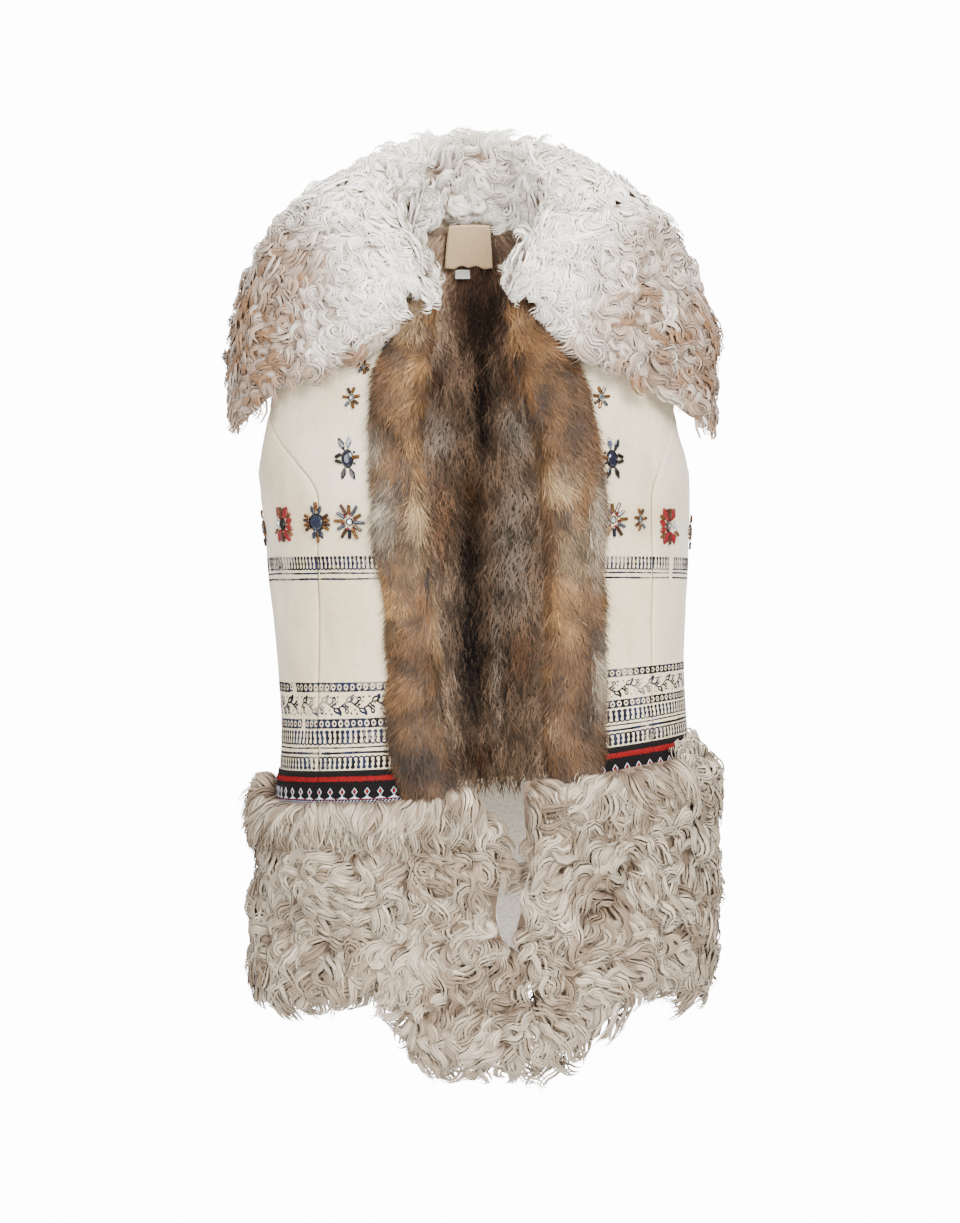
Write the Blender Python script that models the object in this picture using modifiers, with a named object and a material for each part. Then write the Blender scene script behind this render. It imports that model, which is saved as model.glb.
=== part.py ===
"""Long open shearling vest on a general figure: cream panels, woven trim, curly lamb
collar and hem band, straight fur lining and front facings, and bead and stone stars.

Metres, +Z up. The wearer faces -Y, so the wearer's right front lies at -X.
The origin is the middle of the neck opening at the height of the back neck seam.
A place on the garment is given by its turn (degrees round the body, 0 at the centre
front, 90 at the wearer's left side, 180 at the centre back) and its height.
"""
import math

import bmesh
import bpy
import numpy as np
from mathutils import Vector

for old in list(bpy.data.objects):
    bpy.data.objects.remove(old, do_unlink=True)

# Driving sizes
CLOTH = 0.0020              # napped leather panel
TRIM_THICK = 0.0015
SEAM_GAP = 0.00045          # between two pieces at a seam
SKIN = 0.0010               # half thickness of the hide under the collar's curls
SQUARENESS = 2.35           # 2 is an ellipse, more is a squarer body section
HEM_SEAM = -0.5475
TRIM_TOP = -0.5155
NECK_CORNER = -0.095        # where the neckline meets the front edge
LINING_OUTER = -0.0042
SHOULDER_LINING_OUTER = -0.0062
LINING_INNER = -0.0170
BACK_COLUMNS = 20
FRONT_COLUMNS = 5           # past the fur facing, up to the princess seam
SIDE_COLUMNS = 7
RIGHT, LEFT = -1.0, 1.0

# Body sections: height, half width, front depth, back depth, sideways shift
BODY_RINGS = (
    (-0.800, 0.1900, 0.133, 0.128, 0.0030),
    (-0.720, 0.1920, 0.134, 0.130, 0.0030),
    (-0.620, 0.1920, 0.135, 0.131, 0.0040),
    (-0.543, 0.1920, 0.135, 0.132, 0.0040),
    (-0.464, 0.1890, 0.133, 0.131, 0.0020),
    (-0.379, 0.1940, 0.130, 0.128, -0.0005),
    (-0.287, 0.2000, 0.134, 0.125, -0.0040),
    (-0.223, 0.2025, 0.134, 0.123, -0.0075),
    (-0.150, 0.2000, 0.125, 0.120, -0.0075),
    (-0.100, 0.1950, 0.108, 0.112, -0.0075),
    (-0.070, 0.1850, 0.092, 0.102, -0.0075),
    (-0.040, 0.1450, 0.076, 0.090, -0.0075),
    (-0.020, 0.1050, 0.064, 0.079, -0.0075),
    (0.000, 0.0700, 0.050, 0.068, -0.0075),
    (0.012, 0.0560, 0.042, 0.061, -0.0075),
)

# Slope of the level lines as the vest hangs: height, rise per metre to the left
LEAN = (
    (-0.700, 0.000),
    (-0.600, 0.060),
    (-0.520, 0.090),
    (-0.430, 0.045),
    (-0.340, 0.000),
)
SIDE_RISE = 0.006           # how far the trim climbs from the front to the sides

# Cloth edge of each front: height, x of the right front, x of the left front
FRONT_EDGE = (
    (-0.5600, -0.0210, 0.0830),
    (-0.5438, -0.0310, 0.0780),
    (-0.5050, -0.0440, 0.0710),
    (-0.4600, -0.0490, 0.0710),
    (-0.3700, -0.0560, 0.0740),
    (-0.3198, -0.0610, 0.0725),
    (-0.2784, -0.0660, 0.0705),
    (-0.2380, -0.0690, 0.0670),
    (-0.1966, -0.0680, 0.0600),
    (-0.1346, -0.0570, 0.0425),
    (-0.0950, -0.0588, 0.0438),
)

# Neckline from the front corner to the shoulder seam: height, turn
NECKLINE = (
    (-0.095, 15.0),
    (-0.070, 22.0),
    (-0.040, 35.0),
    (-0.020, 55.0),
    (-0.008, 72.0),
    (0.000, 86.0),
)

ARM_MIDDLE, ARM_HALF_HEIGHT, ARM_HALF_TURN = -0.160, 0.090, 28.0
PRINCESS_X = {RIGHT: -0.148, LEFT: 0.158}
PRINCESS_BEND, PRINCESS_TOP = -0.280, -0.190

TRUNK_ROWS = (HEM_SEAM, TRIM_TOP, -0.47, -0.42, -0.37, -0.32, -0.28, -0.25)
ARM_ROWS = (-0.2485, -0.243, -0.228, -0.205, -0.190, -0.160, -0.136, -0.115, -0.092, -0.077,
            -0.0715)
SIDE_FRONT_TOP = -0.193
LINING_ROWS = (HEM_SEAM, -0.47, -0.37, -0.28, -0.2535, -0.246, -0.222, -0.160, -0.098, -0.074,
               -0.0665, -0.040, -0.018)
SHOULDER_ROWS = (-0.070, -0.052, -0.032, -0.014, 0.0)

# Fur facing over each front edge: height, inner x and outer x of the right one,
# inner x and outer x of the left one
FACING = (
    (-0.5470, -0.0200, -0.0640, 0.0680, 0.1010),
    (-0.5155, -0.0290, -0.0730, 0.0600, 0.1090),
    (-0.4700, -0.0350, -0.0780, 0.0580, 0.1100),
    (-0.4200, -0.0390, -0.0800, 0.0600, 0.1090),
    (-0.3700, -0.0430, -0.0840, 0.0610, 0.1090),
    (-0.3200, -0.0480, -0.0920, 0.0595, 0.1090),
    (-0.2800, -0.0530, -0.0950, 0.0575, 0.1085),
    (-0.2380, -0.0560, -0.0985, 0.0540, 0.1040),
    (-0.1966, -0.0550, -0.0975, 0.0470, 0.0960),
    (-0.1600, -0.0480, -0.0920, 0.0355, 0.0850),
    (-0.1360, -0.0430, -0.0810, 0.0290, 0.0640),
    (-0.1120, -0.0425, -0.0650, 0.0285, 0.0485),
)
# Section of a facing: share of the outer width (or metres from the cloth edge), offset
FACING_OVER = ((1.0, 0.0004), (0.97, 0.0100), (0.78, 0.0180), (0.45, 0.0220), (0.10, 0.0205))
FACING_ROUND = ((-0.0080, 0.0150), (-0.0128, 0.0050), (-0.0125, -0.0060), (-0.0070, -0.0145),
                (0.0015, -0.0185), (0.0098, -0.0190), (0.0098, -0.0026), (-0.0005, -0.0026),
                (-0.0005, 0.0004))
FACING_FLAT = (0.34, 0.68)  # points where it lies on the cloth, as shares of its width

# Free edge of each hem band: height, x of the right band, x of the left band
HEM_EDGE = (
    (-0.795, 0.0460, 0.0500),
    (-0.730, 0.0440, 0.0480),
    (-0.700, 0.0375, 0.0415),
    (-0.678, 0.0215, 0.0320),
    (-0.656, 0.0145, 0.0350),
    (-0.623, 0.0180, 0.0480),
    (-0.605, 0.0200, 0.0440),
    (-0.574, 0.0060, 0.0400),
    (-0.550, -0.0050, 0.0385),
    (-0.530, -0.0120, 0.0415),
)

# Lower edge of the front hem: x, height
HEM_BOTTOM = (
    (-0.2300, -0.737), (-0.1600, -0.738), (-0.1240, -0.734), (-0.0920, -0.733),
    (-0.0730, -0.742), (-0.0590, -0.768), (-0.0440, -0.788), (-0.0180, -0.785),
    (0.0280, -0.789), (0.0540, -0.788), (0.0810, -0.780), (0.0970, -0.764),
    (0.1120, -0.760), (0.1220, -0.749), (0.1300, -0.735), (0.1465, -0.723),
    (0.1650, -0.725), (0.2000, -0.736), (0.2300, -0.737),
)
HEM_BACK_BOTTOM = -0.735
HEM_PILE = 0.0305           # curls beyond the cloth's surface
HEM_TOP_RISE = 0.015        # curls that stand above the seam, over the trim

# Collar from the front corner to the centre back: station, seam turn, seam height,
# rise of the roll, then tip turn and tip height of the right leaf and of the left leaf
COLLAR = (
    (0.0, 14.0, -0.0965, 0.006, 22.0, -0.1180, 18.0, -0.1050),
    (1.0, 16.0, -0.0890, 0.013, 30.0, -0.1400, 25.0, -0.1320),
    (2.0, 22.0, -0.0700, 0.022, 41.0, -0.1630, 36.5, -0.1560),
    (3.0, 35.0, -0.0400, 0.030, 57.0, -0.1830, 53.0, -0.1830),
    (4.0, 55.0, -0.0200, 0.035, 75.0, -0.1980, 72.0, -0.2000),
    (5.0, 88.0, 0.0000, 0.038, 97.0, -0.1880, 97.0, -0.1900),
    (6.0, 120.0, 0.0000, 0.048, 121.0, -0.1700, 121.0, -0.1700),
    (7.0, 150.0, 0.0000, 0.054, 150.0, -0.1580, 150.0, -0.1580),
    (8.0, 180.0, 0.0000, 0.055, 180.0, -0.1530, 180.0, -0.1530),
)
COLLAR_SPLIT = 5.3          # station where a leaf is joined to the back piece
COLLAR_LAST = 16.0
# Curls on the collar: share of the way from the seam over the roll to the tip, depth
COLLAR_PILE = ((0.0, 0.009), (0.12, 0.019), (0.28, 0.024), (0.50, 0.028), (0.85, 0.028), (1.0, 0.023))
COLLAR_ROWS = 11

# Bead stars: name, x, height, half width, half height, rays, stone radius
STARS = (
    ("right_1", -0.1050, -0.159, 0.0050, 0.0062, 6, 0.0018),
    ("right_2", -0.1160, -0.187, 0.0072, 0.0100, 6, 0.0026),
    ("right_3", -0.1205, -0.242, 0.0110, 0.0210, 6, 0.0062),
    ("right_4", -0.1180, -0.299, 0.0120, 0.0175, 10, 0.0030),
    ("right_5", -0.1480, -0.299, 0.0145, 0.0190, 8, 0.0060),
    ("right_6", -0.1800, -0.300, 0.0140, 0.0170, 6, 0.0042),
    ("right_7", -0.2010, -0.302, 0.0120, 0.0130, 6, 0.0036),
    ("left_1", 0.0880, -0.147, 0.0050, 0.0062, 6, 0.0018),
    ("left_2", 0.1100, -0.186, 0.0072, 0.0100, 6, 0.0026),
    ("left_3", 0.1200, -0.242, 0.0110, 0.0190, 6, 0.0062),
    ("left_4", 0.1200, -0.297, 0.0125, 0.0165, 10, 0.0030),
    ("left_5", 0.1455, -0.296, 0.0065, 0.0120, 6, 0.0030),
    ("left_6", 0.1735, -0.302, 0.0160, 0.0190, 6, 0.0062),
    ("left_7", 0.1950, -0.306, 0.0110, 0.0120, 6, 0.0036),
)
STAR_BASE, STAR_TOP, STONE_TOP = 0.0006, 0.0024, 0.0046

# Plain tabs at the back neck: centre x, top, width, height, offset, thickness
NECK_LABEL = (-0.0110, -0.0010, 0.0450, 0.0410, -0.0180, 0.0012)
SIZE_TAB = (-0.0170, -0.0426, 0.0140, 0.0090, -0.0181, 0.0008)

# Finishes: base colour, roughness
CREAM = ((0.72, 0.67, 0.57), 0.80)
TRIM_BLACK = ((0.03, 0.025, 0.03), 0.75)
GREIGE = ((0.62, 0.55, 0.46), 0.95)
IVORY = ((0.80, 0.74, 0.67), 0.95)
RUST = ((0.36, 0.22, 0.12), 0.95)
BROWN = ((0.27, 0.19, 0.13), 0.95)
TAN = ((0.68, 0.57, 0.43), 0.85)
STONE_BLUE = ((0.05, 0.07, 0.14), 0.25)

collection = bpy.data.collections.new("embroidered_vest")
bpy.context.scene.collection.children.link(collection)


def smooth_between(keys, values, at):
    """A smooth curve through a table's rows, held level beyond its ends."""
    keys = np.asarray(keys, float)
    values = np.asarray(values, float)
    at = min(max(at, keys[0]), keys[-1])
    slopes = np.gradient(values, keys)
    i = min(int(np.searchsorted(keys, at, side="right")) - 1, len(keys) - 2)
    i = max(i, 0)
    span = keys[i + 1] - keys[i]
    t = (at - keys[i]) / span
    return float(values[i] * (2 * t ** 3 - 3 * t ** 2 + 1)
                 + slopes[i] * span * (t ** 3 - 2 * t ** 2 + t)
                 + values[i + 1] * (3 * t ** 2 - 2 * t ** 3)
                 + slopes[i + 1] * span * (t ** 3 - t ** 2))


def column(table, index):
    return tuple(row[index] for row in table)


def read(table, index, at):
    return smooth_between(column(table, 0), column(table, index), at)


def ease(t):
    t = min(max(t, 0.0), 1.0)
    return t * t * (3.0 - 2.0 * t)


def mix(a, b, t):
    return a + (b - a) * t


# The garment's surface

def body_skin(turn, height):
    """Point on the cloth's outer surface."""
    half_width = read(BODY_RINGS, 1, height)
    across = math.sin(math.radians(turn))
    along = math.cos(math.radians(turn))
    depth = read(BODY_RINGS, 2 if along > 0 else 3, height)
    reach = (abs(across) ** SQUARENESS + abs(along) ** SQUARENESS) ** (-1.0 / SQUARENESS)
    x = read(BODY_RINGS, 4, height) + half_width * across * reach
    lean = read(LEAN, 1, height)
    rise = SIDE_RISE * across ** 2 * lean / 0.09
    return Vector((x, -depth * along * reach, height + lean * x + rise))


def body_normal(turn, height):
    round_step = body_skin(turn + 0.5, height) - body_skin(turn - 0.5, height)
    up_step = body_skin(turn, height + 0.002) - body_skin(turn, height - 0.002)
    return round_step.cross(up_step).normalized()


def body_point(turn, height, offset=0.0):
    """Point that lies offset metres outside the cloth's surface."""
    return body_skin(turn, height) + body_normal(turn, height) * offset


def turn_at(x, height):
    """Turn, on the front half, of the surface point with this x."""
    share = (x - read(BODY_RINGS, 4, height)) / read(BODY_RINGS, 1, height)
    size = min(max(abs(share), 1e-4), 0.9999)
    cotangent = (size ** -SQUARENESS - 1.0) ** (1.0 / SQUARENESS)
    return math.copysign(math.degrees(math.atan2(1.0, cotangent)), share)


def degrees_for(length, turn, height):
    """Turn that a length round the body covers at this place."""
    return length / (body_skin(turn + 0.5, height) - body_skin(turn - 0.5, height)).length


# Outlines of the cut pieces, as turns at a height

def arm_turn(height):
    """Half turn that the armhole covers on each side of the side seam."""
    share = 1.0 - ((height - ARM_MIDDLE) / ARM_HALF_HEIGHT) ** 2
    return ARM_HALF_TURN * math.sqrt(share) if share > 0 else 0.0


def side_turn(side, height, gap=SEAM_GAP):
    """Turn where a front ends at the side seam, armhole or shoulder seam."""
    return side * (90.0 - arm_turn(height) - degrees_for(gap / 2, 90.0, height))


def front_turn(side, height):
    """Turn of a front's free edge, or of its neckline above the corner."""
    if height > NECK_CORNER:
        return side * read(NECKLINE, 1, height)
    return turn_at(read(FRONT_EDGE, 1 if side == RIGHT else 2, height), height)


def princess_turn(side, height, gap):
    """Turn of the seam between a front and its side front, which ends in the armhole."""
    climb = ease((height - PRINCESS_BEND) / (PRINCESS_TOP - PRINCESS_BEND))
    straight = turn_at(PRINCESS_X[side], height)
    seam = mix(straight, side * (90.0 - arm_turn(PRINCESS_TOP)), climb)
    return seam + side * degrees_for(gap, seam, height)


def facing_shares(side, height):
    """Width of cloth under the facing, in metres, and its three inner columns' turns."""
    inner = front_turn(side, height)
    table_row = 2 if side == RIGHT else 4
    outer = turn_at(read(FACING, table_row, min(height, -0.2)), height)
    width = abs(side_turn(side, height) - inner)
    outer = side * min(max(abs(outer), abs(inner) + 0.15 * width), abs(inner) + 0.4 * width)
    return [mix(inner, outer, share) for share in (0.0, *FACING_FLAT, 1.0)]


def front_columns(side, height):
    inner = facing_shares(side, height)
    if height < PRINCESS_TOP:
        end = princess_turn(side, height, -SEAM_GAP / 2)
    else:
        end = side_turn(side, height)
    steps = [mix(inner[-1], end, (i + 1) / FRONT_COLUMNS) for i in range(FRONT_COLUMNS)]
    return inner + steps


def side_columns(side, height):
    start = princess_turn(side, height, SEAM_GAP / 2)
    end = side_turn(side, height)
    return [mix(start, end, i / SIDE_COLUMNS) for i in range(SIDE_COLUMNS + 1)]


def back_columns(height, count=BACK_COLUMNS, gap=SEAM_GAP, trim=0.0):
    start = 90.0 + arm_turn(height) + degrees_for(gap / 2, 90.0, height) + trim
    return [mix(start, 360.0 - start, i / count) for i in range(count + 1)]


# Mesh builders

def finish(obj, look):
    colour, roughness = look
    material = bpy.data.materials.new(obj.name)
    material.use_nodes = True
    shader = material.node_tree.nodes["Principled BSDF"]
    shader.inputs["Base Color"].default_value = (*colour, 1.0)
    shader.inputs["Roughness"].default_value = roughness
    shader.inputs["Metallic"].default_value = 0.0
    obj.data.materials.append(material)
    obj.data.shade_smooth()
    obj.data.set_sharp_from_angle(angle=math.radians(50))
    return obj


def link_mesh(name, mesh_builder):
    mesh = bpy.data.meshes.new(name)
    mesh_builder.to_mesh(mesh)
    mesh_builder.free()
    obj = bpy.data.objects.new(name, mesh)
    collection.objects.link(obj)
    return obj


def open_sheet(points):
    """Grid of quads over rows of points."""
    builder = bmesh.new()
    rows = [[builder.verts.new(p) for p in row] for row in points]
    for low, high in zip(rows, rows[1:]):
        for i in range(len(low) - 1):
            builder.faces.new((low[i], low[i + 1], high[i + 1], high[i]))
    return builder


def shell(name, points, thickness, outward, look):
    """Cloth: a grid whose rows go up and whose columns follow the turn, made solid."""
    obj = link_mesh(name, open_sheet(points))
    solid = obj.modifiers.new("thickness", "SOLIDIFY")
    solid.thickness = thickness
    solid.offset = 1.0 if outward else -1.0
    return finish(obj, look)


def slab(name, inside, outside, look):
    """Closed body between two grids of the same size."""
    builder = bmesh.new()
    low = [[builder.verts.new(p) for p in row] for row in inside]
    high = [[builder.verts.new(p) for p in row] for row in outside]
    last_row, last_column = len(low) - 1, len(low[0]) - 1
    for i in range(last_row):
        for j in range(last_column):
            builder.faces.new((low[i][j], low[i][j + 1], low[i + 1][j + 1], low[i + 1][j]))
            builder.faces.new((high[i][j], high[i + 1][j], high[i + 1][j + 1], high[i][j + 1]))
    for i in range(last_row):
        for j in (0, last_column):
            builder.faces.new((low[i][j], low[i + 1][j], high[i + 1][j], high[i][j]))
    for j in range(last_column):
        for i in (0, last_row):
            builder.faces.new((low[i][j], low[i][j + 1], high[i][j + 1], high[i][j]))
    bmesh.ops.recalc_face_normals(builder, faces=builder.faces)
    return finish(link_mesh(name, builder), look)


def loft(name, sections, look):
    """Closed body through sections that are closed loops of the same number of points."""
    builder = bmesh.new()
    rings = [[builder.verts.new(p) for p in section] for section in sections]
    count = len(rings[0])
    for low, high in zip(rings, rings[1:]):
        for i in range(count):
            k = (i + 1) % count
            builder.faces.new((low[i], low[k], high[k], high[i]))
    builder.faces.new(rings[0])
    builder.faces.new(rings[-1])
    bmesh.ops.recalc_face_normals(builder, faces=builder.faces)
    return finish(link_mesh(name, builder), look)


def lumps(a, b, depth):
    """Uneven tufts: a smooth wave over two directions, about -depth to +depth."""
    return depth * (0.55 * math.sin(a * 1.9 + 1.3 * math.sin(b * 0.8))
                    + 0.45 * math.sin(b * 2.3 + 1.7 * math.sin(a * 1.1 + 0.6)))


# Cloth panels

def surface(rows, columns_at, offset=0.0):
    return [[body_point(turn, height, offset) for turn in columns_at(height)] for height in rows]


def lining_face(rows, columns_at):
    """The side of the lining's hide that lies against the cloth."""
    points = []
    for height in rows:
        offset = SHOULDER_LINING_OUTER if height > -0.11 else LINING_OUTER
        points += surface([height], columns_at, offset)
    return points


def ordered(side, points):
    """Rows run with the turn, so that every face of the sheet looks outwards."""
    return points if side == LEFT else [row[::-1] for row in points]


def make_back_panel():
    rows = TRUNK_ROWS + ARM_ROWS + SHOULDER_ROWS
    shell("back_panel", surface(rows, back_columns), CLOTH, False, CREAM)


def make_front_panels(side, name):
    rows = TRUNK_ROWS + ARM_ROWS + SHOULDER_ROWS
    points = surface(rows, lambda height: front_columns(side, height))
    shell(name + "_front", ordered(side, points), CLOTH, False, CREAM)
    low_rows = [height for height in rows if height < PRINCESS_TOP] + [SIDE_FRONT_TOP]
    points = surface(low_rows, lambda height: side_columns(side, height))
    shell(name + "_side_front", ordered(side, points), CLOTH, False, CREAM)


def make_trim():
    """Woven tape over the hem seam, made from the panels' own points moved out."""
    rows = (HEM_SEAM, (HEM_SEAM + TRIM_TOP) / 2, TRIM_TOP)
    shell("trim_back", surface(rows, back_columns, 0.0004), TRIM_THICK, True, TRIM_BLACK)
    for side, name in ((RIGHT, "trim_right"), (LEFT, "trim_left")):
        def tape_columns(height):
            start = facing_outer_turn(side, height) + side * 0.25
            past_facing = front_columns(side, height)[-FRONT_COLUMNS:]
            return [start] + past_facing + side_columns(side, height)
        points = surface(rows, tape_columns, 0.0004)
        shell(name, ordered(side, points), TRIM_THICK, True, TRIM_BLACK)


# Straight fur

def facing_inner_turn(side, height):
    return turn_at(read(FACING, 1 if side == RIGHT else 3, height), height)


def facing_outer_turn(side, height):
    return turn_at(read(FACING, 2 if side == RIGHT else 4, height), height)


def facing_section(side, height, plump):
    """Loop round the cloth edge: over the cloth, past the edge and in to the lining."""
    edge = front_turn(side, height)
    outer = facing_outer_turn(side, height)
    inner = facing_inner_turn(side, height)
    past = (inner - edge) / FACING_ROUND[1][0]
    loop = [(mix(edge, outer, share), offset * plump if offset > 0.001 else offset)
            for share, offset in FACING_OVER]
    for metres, offset in FACING_ROUND:
        if metres < -0.001:
            turn = edge + metres * past
        else:
            turn = edge + side * degrees_for(metres, edge, height)
        thick = abs(offset) > 0.003
        loop.append((turn, offset * plump if thick else offset))
    loop += [(mix(edge, outer, share), 0.0004) for share in FACING_FLAT]
    return [body_point(turn, height, offset) for turn, offset in loop]


def make_facings():
    for side, name in ((RIGHT, "facing_right"), (LEFT, "facing_left")):
        heights = column(FACING, 0)
        sections = []
        for i, height in enumerate(heights):
            plump = 0.72 if i == 0 else 1.0 - 0.35 * ease((height + 0.14) / 0.035)
            sections.append(facing_section(side, height, plump))
        loft(name, sections, RUST)


def make_linings():
    def back_turns(height):
        return back_columns(height, 14, 0.0006, 0.9 if arm_turn(height) > 0 else 0.0)
    rows = LINING_ROWS + (-0.005,)
    slab("lining_back", surface(rows, back_turns, LINING_INNER),
         lining_face(rows, back_turns), BROWN)
    for side, name in ((RIGHT, "lining_right"), (LEFT, "lining_left")):
        def front_turns(height):
            clear = 0.0125 if height < -0.10 else 0.005
            edge = front_turn(side, height)
            start = edge + side * degrees_for(clear, edge, height)
            inset = 0.9 if arm_turn(height) > 0 else 0.0
            end = side_turn(side, height, 0.0006) - side * inset
            start = side * min(abs(start), abs(end) - 0.8)
            return [mix(start, end, i / 8) for i in range(9)]
        front_rows = sorted(set(LINING_ROWS + column(FACING, 0)[1:]))
        slab(name, surface(front_rows, front_turns, LINING_INNER),
             lining_face(front_rows, front_turns), BROWN)


# Curly lamb

def hem_profile(bottom, top_rise, plump):
    """Offsets and heights of a hem section, from the seam down: hide side, curl side."""
    pile = HEM_PILE * plump
    middle = [mix(HEM_SEAM - 0.045, bottom + 0.040, i / 2) for i in range(3)]
    curls = [(0.0024, HEM_SEAM - 0.0005), (0.2 * pile, HEM_SEAM + 0.6 * top_rise),
             (0.5 * pile, HEM_SEAM + top_rise), (0.85 * pile, HEM_SEAM + 0.6 * top_rise),
             (pile, HEM_SEAM - 0.014)]
    curls += [(pile, height) for height in middle]
    curls += [(0.9 * pile, bottom + 0.014), (0.55 * pile, bottom), (0.12 * pile, bottom + 0.004)]
    count = len(curls)
    hide = [(-0.002, mix(HEM_SEAM - 0.0005, bottom + 0.010, i / (count - 1))) for i in range(count)]
    return hide, curls


def hem_bottom(turn):
    """Height of the lower edge under this turn."""
    if abs(turn) > 90.0:
        return HEM_BACK_BOTTOM
    x = body_skin(turn, -0.74).x
    blend = ease((abs(turn) - 70.0) / 20.0)
    return mix(read(HEM_BOTTOM, 1, x), HEM_BACK_BOTTOM, blend)


def hem_piece(name, turn_of, steps, rounded_end, facing_side=None):
    """Band of curls; turn_of(share, height) is the turn of a column at a height."""
    hides, outsides = [], []
    for k, share in enumerate(steps):
        base_turn = turn_of(share, -0.74)
        bottom = hem_bottom(base_turn)
        from_end = steps[-1] - share
        plump = 1.0
        if rounded_end:
            plump = math.sqrt(max(1.0 - (1.0 - min(from_end / 0.06, 1.0)) ** 2, 0.20))
        rise = HEM_TOP_RISE
        if facing_side is not None:
            under = abs(facing_outer_turn(facing_side, HEM_SEAM)) + 4.0
            rise *= ease((abs(turn_of(share, HEM_SEAM)) - under) / 6.0)
            if turn_of(share, HEM_SEAM) * facing_side < 0:
                rise = 0.0
        hide, curls = hem_profile(bottom, rise, plump)
        hides.append([body_point(turn_of(share, h), h, d) for d, h in hide])
        row = []
        for j, (d, h) in enumerate(curls):
            depth = lumps(k * 0.9, j * 1.4, 0.0035) if 3 < j < len(curls) - 1 else 0.0
            row.append(body_point(turn_of(share, h), h, d + depth * plump))
        outsides.append(row)
    slab(name, hides, outsides, GREIGE)


def make_hem():
    gap = degrees_for(0.0006, 90.0, -0.65)
    count = 26
    hem_piece("hem_back", lambda share, h: mix(90.0 + gap, 270.0 - gap, share),
              [i / count for i in range(count + 1)], False)
    for side, name, count in ((RIGHT, "hem_right", 19), (LEFT, "hem_left", 15)):
        index = 1 if side == RIGHT else 2

        def turn_of(share, height):
            free = turn_at(read(HEM_EDGE, index, height), height)
            return mix(side * (90.0 - gap), free, share)
        steps = [i / count * 0.94 for i in range(count)] + [0.93, 0.965, 0.99, 1.0]
        steps = sorted(step for step in steps if step <= 0.9 or step >= 0.93)
        hem_piece(name, turn_of, steps, True, side)


def collar_station(at):
    """Seam turn, seam height, roll rise, tip turn and tip height at a station."""
    near = at if at <= 8.0 else COLLAR_LAST - at
    seam_turn, seam_height, rise = (read(COLLAR, i, near) for i in (1, 2, 3))
    first = 4 if at <= 8.0 else 6
    tip_turn, tip_height = read(COLLAR, first, near), read(COLLAR, first + 1, near)
    if at <= 8.0:
        return -seam_turn, seam_height, rise, -tip_turn, tip_height
    return seam_turn - 360.0, seam_height, rise, tip_turn - 360.0, tip_height


def collar_path(at):
    """Points of the hide from the neck seam, over the roll and down to the tip."""
    seam_turn, seam_height, rise, tip_turn, tip_height = collar_station(at)
    side = 1.0 if seam_turn < -180.0 else -1.0
    beyond = degrees_for(0.0018, seam_turn, seam_height) * side
    if abs(seam_height) < 0.004:
        beyond = 0.0
    seam = body_point(seam_turn - beyond, seam_height + 0.0016, -0.0008)
    out = Vector((seam.x - read(BODY_RINGS, 4, 0.0), seam.y - 0.01, 0.0)).normalized()
    roll = seam + Vector((0.0, 0.0, rise)) - out * (0.10 * rise)
    over = roll + out * (0.75 * rise) + Vector((0.0, 0.0, -0.25 * rise))
    first = mix(seam_turn, tip_turn, 0.40)
    second = mix(seam_turn, tip_turn, 0.75)
    shoulder = body_point(first, mix(seam_height, tip_height, 0.24), 0.0170)
    fall = body_point(second, mix(seam_height, tip_height, 0.55), 0.0090)
    tip = body_point(tip_turn, tip_height, 0.0070)
    return [seam, roll, over, shoulder, fall, tip]


def along_path(points, share):
    """Point on a smooth curve through a station's points, spaced by length."""
    lengths = [0.0]
    for a, b in zip(points, points[1:]):
        lengths.append(lengths[-1] + (b - a).length)
    total = lengths[-1]
    return Vector([smooth_between(lengths, [p[i] for p in points], share * total) for i in range(3)])


def make_collar():
    pieces = (("collar_right", 0.0, COLLAR_SPLIT - 0.008, 13),
              ("collar_back", COLLAR_SPLIT + 0.008, COLLAR_LAST - COLLAR_SPLIT - 0.008, 18),
              ("collar_left", COLLAR_LAST - COLLAR_SPLIT + 0.008, COLLAR_LAST, 13))
    step = 0.05
    for name, first, last, count in pieces:
        hides, outsides = [], []
        for k in range(count + 1):
            at = mix(first, last, k / count)
            path = collar_path(at)
            fullness = mix(0.45, 1.0, ease(min(at, COLLAR_LAST - at) / 1.6))
            before, after = collar_path(max(at - step, 0.0)), collar_path(min(at + step, COLLAR_LAST))
            hide_row, curl_row = [], []
            for j in range(COLLAR_ROWS + 1):
                share = j / COLLAR_ROWS
                point = along_path(path, share)
                down = along_path(path, min(share + 0.03, 1.0)) - along_path(path, max(share - 0.03, 0))
                round_step = along_path(after, share) - along_path(before, share)
                normal = round_step.cross(down).normalized()
                pile = smooth_between(column(COLLAR_PILE, 0), column(COLLAR_PILE, 1), share)
                if 0 < j < COLLAR_ROWS:
                    pile += lumps(at * 3.1, j * 1.6, 0.003)
                hide_row.append(point - normal * SKIN)
                curl_row.append(point + normal * pile * fullness)
            direction = down.normalized()
            hide_row.append(point + direction * 0.002 - normal * SKIN)
            curl_row.append(point + (direction * 0.013 + normal * 0.011) * fullness)
            hides.append(hide_row)
            outsides.append(curl_row)
        slab(name, hides, outsides, IVORY)


# Small pieces

def make_tab(name, sizes, look):
    """Plain cloth tab that lies on the lining at the back neck."""
    centre, top, width, height, offset, thickness = sizes
    rows, columns = 3, 6
    points = []
    for i in range(rows + 1):
        level = top - height + height * i / rows
        middle = 180.0 - degrees_for(centre - read(BODY_RINGS, 4, level), 180.0, level)
        half = degrees_for(width / 2, 180.0, level)
        row = [body_point(middle + half * (2 * k / columns - 1), level, offset)
               for k in range(columns + 1)]
        points.append(row)
    shell(name, points, thickness, False, look)


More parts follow.
